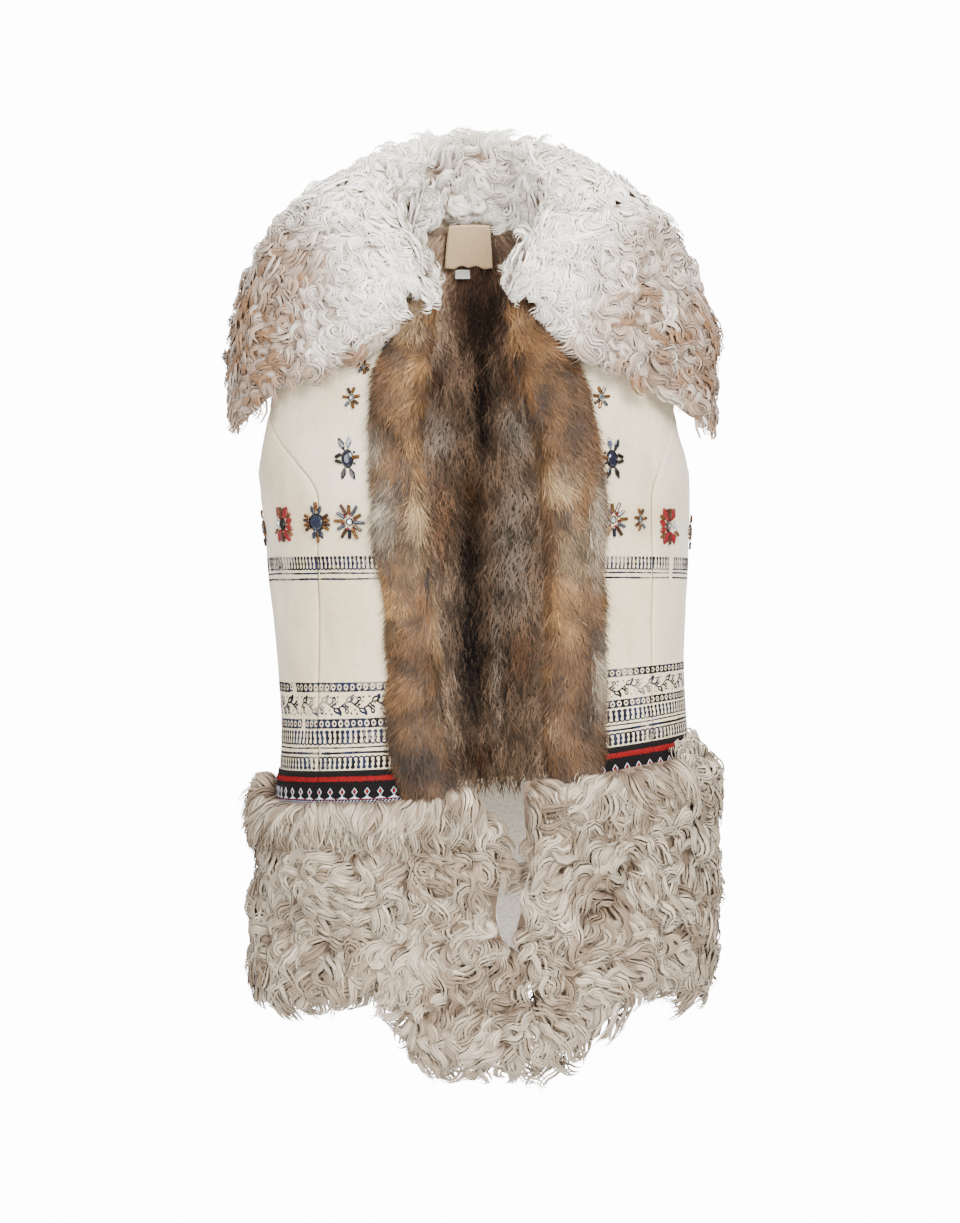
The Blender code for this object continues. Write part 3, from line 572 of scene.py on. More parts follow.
def lining_grid(side, depth, rows=50, columns=60):
    """Points of the lining, seen from inside: rows up, columns against the turn."""
    heights = np.linspace(HEM_SEAM + 0.004, -0.006 if side == 0.0 else -0.100, rows)
    if side == 0.0:
        inset = np.where(arm_turn(heights) > 0, 0.9, 0.0)
        start, end = 90.0 + arm_turn(heights) + inset, 270.0 - arm_turn(heights) - inset
    else:
        edge = front_turn(side, heights)
        start = edge + side * degrees_for(0.0125, edge, heights)
        end = side_turn(side, heights) - side * np.where(arm_turn(heights) > 0, 0.9, 0.0)
        start = side * np.minimum(np.abs(start), np.abs(end) - 0.8)
    share = np.linspace(0.0, 1.0, columns)
    turn = mix(start[:, None], end[:, None], share[None, :])
    points = body_point(turn, np.broadcast_to(heights[:, None], turn.shape), np.full(turn.shape, depth))
    return points if side == RIGHT else points[:, ::-1]


# Materials

def linear(red, green, blue):
    """Linear colour from the 0 to 255 values of a screen."""
    share = np.array((red, green, blue), float) / 255.0
    return np.where(share <= 0.04045, share / 12.92, ((share + 0.055) / 1.055) ** 2.4)


def shade4(colour):
    return (float(colour[0]), float(colour[1]), float(colour[2]), 1.0)


def new_material(name):
    material = bpy.data.materials.new(name)
    material.use_nodes = True
    tree = material.node_tree
    return material, tree.nodes, tree.links, tree.nodes["Principled BSDF"]


def set_inputs(node, values):
    for key, value in values.items():
        node.inputs[key].default_value = value


def feed(links, socket, value):
    """Joins a socket to another one, or gives it a plain number or colour."""
    if hasattr(value, "links"):
        links.new(value, socket)
    elif socket.type == "RGBA":
        socket.default_value = shade4(value)
    else:
        socket.default_value = value


def maths(nodes, links, operation, *values):
    node = nodes.new("ShaderNodeMath")
    node.operation = operation
    for socket, value in zip(node.inputs, values):
        feed(links, socket, value)
    return node.outputs[0]


def map_range(nodes, links, value, limits, interpolation="LINEAR"):
    """A value carried from one range to another: limits are from low, from high, to low, to high."""
    node = nodes.new("ShaderNodeMapRange")
    node.interpolation_type = interpolation
    links.new(value, node.inputs["Value"])
    for key, limit in zip(("From Min", "From Max", "To Min", "To Max"), limits):
        feed(links, node.inputs[key], limit)
    return node.outputs["Result"]


def object_place(nodes):
    return nodes.new("ShaderNodeTexCoord").outputs["Object"]


def noise_at(nodes, links, vector, scale, detail=4.0, stretch=None):
    noise = nodes.new("ShaderNodeTexNoise")
    set_inputs(noise, {"Scale": scale, "Detail": detail})
    if stretch is not None:
        mapping = nodes.new("ShaderNodeMapping")
        mapping.inputs["Scale"].default_value = stretch
        links.new(vector, mapping.inputs["Vector"])
        vector = mapping.outputs[0]
    links.new(vector, noise.inputs["Vector"])
    return noise.outputs["Fac"]


def ramp_of(nodes, links, factor, stops):
    ramp = nodes.new("ShaderNodeValToRGB")
    elements = ramp.color_ramp.elements
    while len(elements) < len(stops):
        elements.new(0.5)
    for element, (place, colour) in zip(elements, stops):
        element.position = place
        element.color = shade4(colour)
    links.new(factor, ramp.inputs[0])
    return ramp.outputs[0]


def bump_of(nodes, links, height, strength, distance, surface):
    bump = nodes.new("ShaderNodeBump")
    set_inputs(bump, {"Strength": strength, "Distance": distance})
    links.new(height, bump.inputs["Height"])
    links.new(bump.outputs["Normal"], surface.inputs["Normal"])


def blend_colours(nodes, links, factor, first, second, mode="MIX"):
    node = nodes.new("ShaderNodeMix")
    node.data_type = "RGBA"
    node.blend_type = mode
    for key, value in (("Factor", factor), ("A", first), ("B", second)):
        feed(links, node.inputs[key], value)
    return node.outputs["Result"]


def make_hair_group():
    """Colour of a hair ribbon from its tint: painted shade at the roots, pale tips, fine strands drawn
    across.
    """
    group = bpy.data.node_groups.new("hair colour", "ShaderNodeTree")
    for name, way, kind in (("Chart", "INPUT", "Vector"), ("Tint", "INPUT", "Color"),
                            ("Root shade", "INPUT", "Color"), ("Root reach", "INPUT", "Float"),
                            ("Contrast", "INPUT", "Float"), ("Colour", "OUTPUT", "Color"),
                            ("Strand", "OUTPUT", "Float")):
        group.interface.new_socket(name=name, in_out=way, socket_type="NodeSocket" + kind)
    nodes, links = group.nodes, group.links
    entry, exit_ = nodes.new("NodeGroupInput"), nodes.new("NodeGroupOutput")

    def count(operation, *values):
        return maths(nodes, links, operation, *values)

    split = nodes.new("ShaderNodeSeparateXYZ")
    links.new(entry.outputs["Chart"], split.inputs[0])
    across, own = count("FRACT", split.outputs[0]), count("FLOOR", split.outputs[0])
    along = split.outputs[1]
    line = nodes.new("ShaderNodeCombineXYZ")
    for socket, value, stretch in zip(line.inputs, (across, along, own), (6.0, 0.8, 7.31)):
        links.new(count("MULTIPLY", value, stretch), socket)
    strand = noise_at(nodes, links, line.outputs[0], 1.0, 1.5)
    links.new(strand, exit_.inputs["Strand"])

    streak = count("MULTIPLY", count("SUBTRACT", strand, 0.5), 2.8)
    shade = count("ADD", count("MULTIPLY", own, 0.0101), streak)
    gain = count("ADD", count("MULTIPLY", count("SUBTRACT", shade, 0.5), entry.outputs["Contrast"]), 1.0)
    # Painted shade at the roots, fading out along the hair
    root_shade_share = map_range(nodes, links, along, (0.0, entry.outputs["Root reach"], 0.0, 1.0), "SMOOTHSTEP")
    body = blend_colours(nodes, links, root_shade_share, entry.outputs["Root shade"], entry.outputs["Tint"])
    bright = nodes.new("ShaderNodeVectorMath")
    bright.operation = "SCALE"
    links.new(body, bright.inputs[0])
    links.new(gain, bright.inputs["Scale"])
    links.new(bright.outputs[0], exit_.inputs["Colour"])
    return group


# The root colour is painted shade at the hairs' roots, fading into the tint over the first part of each
# hair.
def fur_material(name, group, root, root_shade_reach, contrast, sheen):
    material, nodes, links, surface = new_material(name)
    chart = nodes.new("ShaderNodeUVMap")
    chart.uv_map = "chart"
    tinted = nodes.new("ShaderNodeAttribute")
    tinted.attribute_name = "tint"
    hair = nodes.new("ShaderNodeGroup")
    hair.node_tree = group
    set_inputs(hair, {"Root shade": shade4(root), "Root reach": root_shade_reach, "Contrast": contrast})
    links.new(chart.outputs["UV"], hair.inputs["Chart"])
    links.new(tinted.outputs["Color"], hair.inputs["Tint"])
    links.new(hair.outputs["Colour"], surface.inputs["Base Color"])
    bump_of(nodes, links, hair.outputs["Strand"], 0.45, 0.0006, surface)
    set_inputs(surface, {"Roughness": 0.50, "Sheen Weight": sheen, "Sheen Roughness": 0.4,
                         "Specular IOR Level": 0.35})
    return material


def core_material(name, colour):
    """The matted depth that shows between locks; the fur pieces colour it darker than their hairs, as
    painted shade in the gaps.
    """
    material, nodes, links, surface = new_material(name)
    noise = noise_at(nodes, links, object_place(nodes), 260.0)
    base = ramp_of(nodes, links, noise, ((0.0, colour * 0.72), (1.0, colour * 1.15)))
    links.new(base, surface.inputs["Base Color"])
    bump_of(nodes, links, noise, 0.8, 0.002, surface)
    surface.inputs["Roughness"].default_value = 0.9
    return material


hair_group = make_hair_group()
# Each fur's first colour is painted shade at the roots of its hairs.
LAMB = fur_material("curly lamb", hair_group, linear(84, 62, 44), 0.40, 0.60, 0.25)
IVORY = fur_material("ivory lamb", hair_group, linear(150, 122, 98), 0.36, 0.40, 0.25)
RABBIT = fur_material("straight fur", hair_group, linear(80, 63, 48), 0.22, 0.38, 0.15)
# The root colours below, all but the plain hide, are darker than their hairs: painted shade in the depth
# between them.
LINING_SHADED_CORE = core_material("lining fur roots", linear(142, 120, 98))
LAMB_SHADED_CORE = core_material("lamb roots", linear(120, 100, 80))
IVORY_SHADED_CORE = core_material("ivory lamb roots", linear(190, 170, 150))
HIDE = core_material("plain hide", linear(240, 233, 220))
RABBIT_SHADED_CORE = core_material("fur roots", linear(96, 78, 62))


# Cloth, thread and bead finishes

def make_leather():
    """Cream napped leather: fine nap, faint smudges, yellower below the upper print."""
    material, nodes, links, surface = new_material("cream napped leather")
    place = object_place(nodes)
    smudge = noise_at(nodes, links, place, 16.0, 5.0, (1.0, 1.0, 0.6))
    base = ramp_of(nodes, links, smudge, ((0.36, linear(212, 192, 152)), (0.52, linear(230, 214, 182)),
                                          (0.70, linear(238, 224, 196))))
    split = nodes.new("ShaderNodeSeparateXYZ")
    links.new(place, split.inputs[0])
    lower = map_range(nodes, links, split.outputs[2], (-0.335, -0.365, 0.0, 0.55), "SMOOTHSTEP")
    warm = blend_colours(nodes, links, lower, base, linear(228, 208, 168))
    rust = noise_at(nodes, links, place, 38.0, 6.0, (1.0, 1.0, 0.5))
    stain = map_range(nodes, links, rust, (0.58, 0.74, 0.0, 0.55))
    shown = maths(nodes, links, "MULTIPLY", stain, lower)
    warm = blend_colours(nodes, links, shown, warm, linear(190, 152, 108))
    speck = noise_at(nodes, links, place, 210.0, 3.0)
    fine = ramp_of(nodes, links, speck, ((0.36, (0.86, 0.84, 0.80)), (0.50, (1.0, 1.0, 1.0))))
    links.new(blend_colours(nodes, links, 0.6, warm, fine, "MULTIPLY"), surface.inputs["Base Color"])
    bump_of(nodes, links, noise_at(nodes, links, place, 900.0, 2.0), 0.30, 0.0005, surface)
    set_inputs(surface, {"Roughness": 0.72, "Sheen Weight": 0.35, "Sheen Roughness": 0.5})
    return material


def make_ink():
    """Block-printed ink, navy to black, rubbed thin in places."""
    material, nodes, links, surface = new_material("navy printing ink")
    place = object_place(nodes)
    tone = noise_at(nodes, links, place, 60.0, 3.0)
    colour = ramp_of(nodes, links, tone, ((0.40, linear(12, 11, 14)), (0.60, linear(34, 40, 62))))
    patch = noise_at(nodes, links, place, 26.0, 3.0)
    grain = noise_at(nodes, links, place, 500.0, 2.0)
    both = maths(nodes, links, "MULTIPLY_ADD", grain, 0.45, patch)
    rubbed = map_range(nodes, links, both, (0.66, 0.58, 0.0, 0.42))
    worn = blend_colours(nodes, links, rubbed, colour, linear(196, 186, 168))
    links.new(worn, surface.inputs["Base Color"])
    set_inputs(surface, {"Roughness": 0.85, "Specular IOR Level": 0.2})
    return material


def make_woven(name, colour, dark, pitch, roughness):
    """Plain weave drawn from the cloth's own chart, in metres."""
    material, nodes, links, surface = new_material(name)
    chart = nodes.new("ShaderNodeUVMap")
    chart.uv_map = "chart"
    mapping = nodes.new("ShaderNodeMapping")
    mapping.inputs["Scale"].default_value = (1.0 / pitch, 1.0 / pitch, 1.0)
    links.new(chart.outputs[0], mapping.inputs["Vector"])
    checks = nodes.new("ShaderNodeTexChecker")
    checks.inputs["Scale"].default_value = 1.0
    links.new(mapping.outputs[0], checks.inputs["Vector"])
    cloudy = noise_at(nodes, links, object_place(nodes), 300.0, 3.0)
    weave = maths(nodes, links, "MULTIPLY_ADD", checks.outputs["Fac"], 0.5, cloudy)
    base = ramp_of(nodes, links, weave, ((0.35, dark), (0.95, colour)))
    links.new(base, surface.inputs["Base Color"])
    bump_of(nodes, links, weave, 0.5, 0.0004, surface)
    set_inputs(surface, {"Roughness": roughness, "Specular IOR Level": 0.2})
    return material


def make_thread(name, colour, dark):
    material, nodes, links, surface = new_material(name)
    twist = noise_at(nodes, links, object_place(nodes), 1400.0, 2.0, (1.0, 1.0, 0.4))
    base = ramp_of(nodes, links, twist, ((0.35, dark), (0.62, colour)))
    links.new(base, surface.inputs["Base Color"])
    bump_of(nodes, links, twist, 0.6, 0.0004, surface)
    set_inputs(surface, {"Roughness": 0.70, "Specular IOR Level": 0.25})
    return material


def make_bead(name, colour, metallic, roughness, coat):
    """Glass or metal bead, with faint clouding inside."""
    material, nodes, links, surface = new_material(name)
    cloud = noise_at(nodes, links, object_place(nodes), 420.0, 2.0)
    base = ramp_of(nodes, links, cloud, ((0.38, colour * 0.55), (0.62, colour * 1.25)))
    links.new(base, surface.inputs["Base Color"])
    set_inputs(surface, {"Metallic": metallic, "Roughness": roughness, "Coat Weight": coat,
                         "Coat Roughness": 0.06})
    return material


LEATHER = make_leather()
INK = make_ink()
TAPE = make_woven("black tape", linear(15, 9, 8), linear(5, 3, 3), 0.0007, 0.85)
TAN_CLOTH = make_woven("tan cloth", linear(226, 198, 156), linear(198, 166, 122), 0.0006, 0.80)
WHITE_CLOTH = make_woven("white cloth", linear(226, 224, 218), linear(200, 198, 192), 0.0005, 0.80)
RED_THREAD = make_thread("red thread", linear(150, 0, 4), linear(90, 0, 2))
WHITE_THREAD = make_thread("white thread", linear(222, 224, 232), linear(166, 172, 190))
BLUE_THREAD = make_thread("blue thread", linear(70, 78, 104), linear(34, 38, 58))
BEADS = {
    "gold": make_bead("gold bugle", linear(116, 76, 34), 0.75, 0.24, 0.4),
    "brown": make_bead("brown bugle", linear(64, 38, 20), 0.45, 0.22, 0.4),
    "grey": make_bead("grey bugle", linear(86, 90, 100), 0.65, 0.20, 0.6),
    "smoke": make_bead("smoky crystal", linear(30, 32, 38), 0.50, 0.12, 0.7),
    "crystal": make_bead("pale crystal", linear(104, 112, 128), 0.55, 0.10, 0.8),
    "clear": make_bead("clear stone", linear(214, 220, 228), 0.60, 0.06, 1.0),
    "navy": make_bead("navy stone", linear(10, 14, 38), 0.20, 0.12, 0.4),
    "slate": make_bead("slate blue stone", linear(22, 30, 52), 0.25, 0.14, 0.4),
    "steel": make_bead("blue-grey crystal", linear(34, 42, 58), 0.35, 0.14, 0.5),
    "red": make_bead("red bead", linear(118, 0, 3), 0.0, 0.30, 0.20),
    "agate": make_bead("grey-brown stone", linear(96, 84, 80), 0.15, 0.12, 1.0),
    "dark": make_bead("dark metal", linear(38, 34, 34), 0.80, 0.35, 0.2),
}


# Curly lamb: hem and collar

def make_core(name, points, material):
    """The matted depth that a piece's hairs stand in, coloured as painted shade between the hairs."""
    rows, columns = points.shape[:2]
    return settle(mesh_piece(name + "_roots", points, grid_faces(rows, columns)), material)


def turned_up(roots, which):
    """The same roots, with the marked ones combed upwards."""
    place, outward, down = roots[:3]
    return (place, outward, np.where(which[:, None], -down, down)) + tuple(roots[3:])


def make_hide(name, points):
    """The plain hide on the inner side of a curly piece, facing inwards."""
    rows, columns = points.shape[:2]
    settle(mesh_piece(name + "_hide", points, grid_faces(rows, columns)[:, ::-1]), HIDE)


HEM_TINT = linear(182, 166, 144)
HEM_SHADOW = linear(126, 106, 84)
COLLAR_WHITE = linear(252, 246, 235)
COLLAR_TAN = linear(134, 99, 68)

# Front gap between the hem bands, kept clear of roots: its x, half width, and lower end
HEM_GAP_X, HEM_GAP_HALF, HEM_GAP_LOW = 0.0265, 0.016, -0.672

# Locks: length, lift, bundle radius and ribbon width in metres; waves and bend along a lock
HEM_LOCKS = {"strands": 5, "steps": 8, "length": (0.026, 0.044), "lift": (0.010, 0.018),
             "radius": (0.0036, 0.0058), "width": (0.0020, 0.0034), "waves": (0.45, 0.85),
             "bend": (0.9, 1.7), "sag": 0.30}
COLLAR_LOCKS = {"strands": 5, "steps": 8, "length": (0.024, 0.038), "lift": (0.008, 0.016),
                "radius": (0.0034, 0.0054), "width": (0.0018, 0.0032), "waves": (0.55, 1.05),
                "bend": (0.9, 1.7), "sag": 0.15}
NECK_LOCKS = {"strands": 5, "steps": 7, "length": (0.009, 0.014), "lift": (0.004, 0.007),
              "radius": (0.0028, 0.0042), "width": (0.0016, 0.0026), "waves": (0.4, 0.7),
              "bend": (0.6, 1.2), "sag": 0.1}


def make_hem():
    pieces = (("hem_back", 0.0, 1400), ("hem_right", RIGHT, 1330), ("hem_left", LEFT, 1020))
    for k, (name, side, count) in enumerate(pieces):
        rng = np.random.default_rng(40 + k)
        core = make_core(name, hem_grid(side, 0.50), LAMB_SHADED_CORE)
        make_hide(name, hem_grid(side, 0.0, 60, 12))
        grid = hem_grid(side, 0.40)
        rows, columns = grid.shape[:2]
        roots = tufted(spread(grid, count, rng), rng, 0.020, 0.0040)
        seam = roots_at(grid, rng.uniform(rows - 2.6, rows - 1.05, count // 6),
                        rng.uniform(0.0, columns - 1.01, count // 6))
        roots = tuple(np.concatenate(pair) for pair in zip(roots, seam))
        place, up = roots[0], roots[4] / (rows - 1)
        from_gap = np.abs(place[:, 0] - HEM_GAP_X)
        on_front = (place[:, 1] < 0.0) & (side != 0.0)
        into_gap = (place[:, 2] > HEM_GAP_LOW) & (from_gap < HEM_GAP_HALF) & on_front
        roots = chosen(roots, ~into_gap)
        place, up = roots[0], up[~into_gap]
        count = len(place)
        lean = swirl(place, rng, 0.045, 0.70)
        beside_gap = ease(1.0 - from_gap[~into_gap] / 0.045) * on_front[~into_gap]
        lean = lean * (1.0 - beside_gap) + side * 0.35 * beside_gap
        flat_fall = (np.abs(place[:, 0]) < 0.19) | (place[:, 1] > 0.0)
        calm = ease((up - 0.88) / 0.09) * np.where(flat_fall, 0.80, 0.3)
        tone = np.clip(rng.uniform(-0.25, 1.0, count) + 0.25 * swirl(place, rng, 0.03, 1.0), 0, 1)[:, None]
        fur = curls(name + "_locks", roots, rng, lean=lean, calm=calm,
                    tints=mix(HEM_TINT, HEM_SHADOW, tone), **HEM_LOCKS)
        settle(fur, LAMB)
        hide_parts(name)


# Where the collar turns from white to tan: x, z, half width, half height, strength
COLLAR_BLUSH = (
    (-0.195, -0.125, 0.062, 0.090, 1.0), (-0.150, -0.180, 0.060, 0.030, 0.8),
    (-0.170, -0.065, 0.060, 0.064, 0.85), (-0.118, -0.118, 0.026, 0.030, 0.40),
    (-0.012, 0.045, 0.050, 0.036, 0.35), (0.192, -0.130, 0.058, 0.084, 1.0),
    (0.135, -0.110, 0.054, 0.056, 0.85), (0.150, -0.050, 0.050, 0.046, 0.75),
    (0.100, -0.070, 0.030, 0.036, 0.40),
)


def blush(place, height_share, rng):
    """How tan each collar lock is."""
    tan = 0.75 * ease((0.45 - height_share) / 0.40) * (place[:, 1] > -0.02)
    for x, z, wide, tall, strength in COLLAR_BLUSH:
        away = np.sqrt(((place[:, 0] - x) / wide) ** 2 + ((place[:, 2] - z) / tall) ** 2)
        tan = np.maximum(tan, strength * ease(1.3 - away) * (place[:, 1] < 0.06))
    tan = np.maximum(tan, 0.85 * ease((0.14 - height_share) / 0.10))
    return np.clip(tan * rng.uniform(0.75, 1.20, len(place)) + rng.normal(0, 0.06, len(place)), 0.0, 1.0)


def make_collar():
    first_split, last_split, gap = COLLAR_SPLIT, COLLAR_LAST - COLLAR_SPLIT, 0.008
    pieces = (("collar_right", 0.0, first_split - gap, 1230),
              ("collar_back", first_split + gap, last_split - gap, 1450),
              ("collar_left", last_split + gap, COLLAR_LAST, 1230))
    for k, (name, first, last, count) in enumerate(pieces):
        rng = np.random.default_rng(60 + k)
        core = make_core(name, collar_grid(first, last, 0.44), IVORY_SHADED_CORE)
        make_hide(name, collar_grid(first, last, 0.0, 40, 16))
        grid = collar_grid(first, last, 0.36)
        roots = tufted(spread(grid, count, rng), rng, 0.018, 0.0030)
        height_share = roots[4] / (len(grid) - 1)
        if name == "collar_back":
            behind_label = np.abs(roots[0][:, 0] - NECK_LABEL[0]) < 0.030
            roots = turned_up(roots, (height_share > 0.90) & ~behind_label)
        else:
            keep = (height_share < 0.91) | (roots[0][:, 1] > -0.040)
            roots, height_share = chosen(roots, keep), height_share[keep]
        place = roots[0]
        lean = swirl(place, rng, 0.040, 0.60)
        tints = mix(COLLAR_WHITE, COLLAR_TAN, blush(place, height_share, rng)[:, None])
        fur = curls(name + "_locks", roots, rng, lean=lean, calm=np.zeros(len(place)), tints=tints,
                    **COLLAR_LOCKS)
        settle(fur, IVORY)
        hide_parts(name)
    trim_neck_seam()


def trim_neck_seam():
    """Short curls that hang over the seam above the cloth tab."""
    rng = np.random.default_rng(66)
    grid = collar_grid(COLLAR_SPLIT, COLLAR_LAST - COLLAR_SPLIT, 0.30)
    rows, columns = grid.shape[:2]
    roots = roots_at(grid, rng.uniform(rows - 2.4, rows - 1.05, 300), rng.uniform(0.0, columns - 1.01, 300))
    roots = chosen(roots, np.abs(roots[0][:, 0] - NECK_LABEL[0]) < 0.034)
    count = len(roots[0])
    roots = turned_up(roots, np.full(count, True))
    fur = curls("collar_back_edge", roots, rng, lean=rng.normal(0, 0.3, count), calm=np.zeros(count),
                tints=np.tile(COLLAR_WHITE, (count, 1)), **NECK_LOCKS)
    settle(fur, IVORY)


# Straight fur: facings and lining

PELT = {
    "rust": linear(104, 72, 38), "chestnut": linear(78, 53, 30), "umber": linear(38, 25, 16),
    "gold": linear(136, 101, 60), "sand": linear(156, 130, 94), "ash": linear(150, 137, 118),
    "taupe": linear(116, 97, 80), "slate": linear(52, 46, 43), "bark": linear(54, 34, 22),
    "night": linear(18, 11, 8), "dun": linear(148, 136, 124), "fawn": linear(122, 92, 68),
}

PALEST_HAIR = 0.75
DARK_HAIRS, PALE_HAIRS = 0.14, 0.06     # shares of the hairs that are darker and paler
PATCH_FRAY = 0.14
FACING_HAIRS = 21000
TUFT_WIDTH = 0.0046
LINING_GAIN = 1.18 * 2.6        # the lining lies in shade, so its hairs are paler than they look
HAIR_FALL = 0.014               # how far below its root a lining hair shows

# Patches in the facings: x, z, half width, half height, colour
FACING_PATCHES = (
    (-0.062, -0.118, 0.014, 0.012, "sand"), (-0.080, -0.128, 0.009, 0.012, "umber"),
    (-0.087, -0.165, 0.014, 0.024, "chestnut"), (-0.060, -0.165, 0.011, 0.030, "gold"),
    (-0.094, -0.225, 0.009, 0.022, "ash"), (-0.076, -0.215, 0.011, 0.030, "rust"),
    (-0.061, -0.225, 0.007, 0.030, "gold"), (-0.084, -0.290, 0.016, 0.040, "ash"),
    (-0.070, -0.262, 0.004, 0.014, "slate"), (-0.057, -0.300, 0.008, 0.045, "sand"),
    (-0.074, -0.360, 0.013, 0.040, "gold"), (-0.047, -0.345, 0.003, 0.024, "slate"),
    (-0.040, -0.365, 0.005, 0.050, "sand"), (-0.060, -0.440, 0.014, 0.042, "rust"),
    (-0.033, -0.450, 0.005, 0.045, "ash"), (-0.055, -0.515, 0.018, 0.030, "chestnut"),
    (-0.036, -0.545, 0.020, 0.014, "rust"), (-0.022, -0.540, 0.008, 0.014, "gold"),
    (0.058, -0.118, 0.014, 0.014, "umber"), (0.034, -0.128, 0.010, 0.020, "rust"),
    (0.072, -0.178, 0.018, 0.030, "rust"), (0.050, -0.190, 0.004, 0.026, "slate"),
    (0.092, -0.205, 0.010, 0.022, "chestnut"), (0.070, -0.258, 0.016, 0.022, "sand"),
    (0.071, -0.246, 0.004, 0.012, "slate"), (0.076, -0.282, 0.004, 0.010, "slate"),
    (0.084, -0.320, 0.016, 0.034, "sand"), (0.103, -0.300, 0.007, 0.060, "ash"),
    (0.078, -0.375, 0.014, 0.038, "gold"), (0.060, -0.350, 0.004, 0.060, "chestnut"),
    (0.105, -0.430, 0.006, 0.050, "ash"), (0.086, -0.440, 0.013, 0.030, "rust"),
    (0.066, -0.478, 0.005, 0.008, "sand"), (0.082, -0.490, 0.016, 0.026, "rust"),
    (0.100, -0.535, 0.009, 0.020, "taupe"), (0.080, -0.545, 0.013, 0.020, "chestnut"),
)

# Patches in the lining: x, z, half width, half height, colour
LINING_PATCHES = (
    (-0.052, -0.090, 0.009, 0.110, "taupe"), (-0.030, -0.175, 0.016, 0.045, "taupe"),
    (0.000, -0.080, 0.042, 0.070, "bark"), (-0.004, -0.100, 0.026, 0.040, "umber"),
    (-0.044, -0.165, 0.012, 0.026, "bark"), (0.036, -0.150, 0.014, 0.040, "fawn"),
    (0.034, -0.210, 0.015, 0.028, "dun"), (-0.036, -0.215, 0.015, 0.022, "dun"),
    (0.002, -0.170, 0.011, 0.080, "umber"), (0.002, -0.190, 0.006, 0.060, "night"),
    (-0.040, -0.300, 0.016, 0.050, "fawn"), (-0.008, -0.275, 0.014, 0.030, "chestnut"),
    (0.032, -0.330, 0.018, 0.080, "dun"), (0.034, -0.450, 0.018, 0.090, "taupe"),
    (0.016, -0.440, 0.005, 0.090, "dun"), (0.026, -0.450, 0.003, 0.100, "slate"),
    (0.042, -0.430, 0.012, 0.030, "fawn"), (-0.040, -0.410, 0.014, 0.060, "taupe"),
    (-0.010, -0.330, 0.013, 0.050, "umber"), (-0.010, -0.430, 0.019, 0.110, "night"),
    (0.000, -0.238, 0.055, 0.0025, "umber"), (-0.004, -0.530, 0.030, 0.020, "bark"),
)


def painted(place, base, patches, rng):
    """Pelt colour at each root: soft-edged patches laid one over the next."""
    colour = np.tile(PELT[base], (len(place), 1))
    x = place[:, 0] + rng.normal(0, 0.0015, len(place))
    z = place[:, 2] + rng.normal(0, 0.0040, len(place))
    for px, pz, wide, tall, name in patches:
        away = np.sqrt(((x - px) / wide) ** 2 + ((z - pz) / tall) ** 2)
        share = ease(1.25 - away + rng.normal(0, PATCH_FRAY, len(place)))[:, None]
        colour = mix(colour, PELT[name], share)
    return colour


def flecked(colour, rng):
    """Dark guard hairs and pale ones among the rest."""
    count = len(colour)
    gain = rng.uniform(0.86, 1.14, count)
    gain = np.where(rng.uniform(0, 1, count) < DARK_HAIRS, 0.55, gain)
    gain = np.where(rng.uniform(0, 1, count) > 1.0 - PALE_HAIRS, 1.4, gain)
    colour = colour * gain[:, None]
    return colour * np.minimum(1.0, PALEST_HAIR / colour.max(axis=1))[:, None]


def tufts(place, rng, size):
    """Lighter and darker tufts."""
    return 1.0 + 0.30 * np.clip(swirl(place, rng, size, 1.0), -1.0, 1.0)


def shaded_partings(place, rng, width):
    """Painted shade in the partings between tufts, longer down the fur than across it."""
    field = swirl(place * np.array((1.0, 1.0, 0.36)), rng, width, 1.0)
    return 1.0 - 0.52 * ease((field - 0.30) / 0.45)


def make_facings():
    for k, (side, name) in enumerate(((RIGHT, "facing_right"), (LEFT, "facing_left"))):
        rng = np.random.default_rng(80 + k)
        core = make_core(name, facing_grid(side, 0.52), RABBIT_SHADED_CORE)
        grid = facing_grid(side, 0.53)
        rows, columns = grid.shape[:2]
        roots = tufted(spread(grid, FACING_HAIRS, rng), rng, 0.013, 0.0018)
        place, share = roots[0], roots[5] / (columns - 1)
        over = np.clip(share if side == RIGHT else 1.0 - share, 0.0, 1.0)
        lean = side * (0.55 - 0.75 * over) + 0.16 * swirl(place, rng, 0.02, 1.0)
        tufts_and_shade = tufts(place, rng, 0.010)
        # Tufts, darker towards the bottom, with painted shade in the partings between them.
        tufts_and_shade = tufts_and_shade * mix(1.08, 0.74, ease((-0.40 - place[:, 2]) / 0.08)) * shaded_partings(place, rng, TUFT_WIDTH)
        tints = flecked(painted(place, "rust", FACING_PATCHES, rng) * tufts_and_shade[:, None], rng)
        upward = (roots[4] / (rows - 1) > 0.965) & (rng.uniform(0, 1, FACING_HAIRS) < 0.6)
        fur = straight_fur(name + "_hair", turned_up(roots, upward), rng, steps=2, length=(0.012, 0.020),
                           lift=(0.0030, 0.0058), width=(0.0009, 0.0017), lean=lean, tints=tints,
                           clump=0.12)
        settle(fur, RABBIT)
        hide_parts(name)


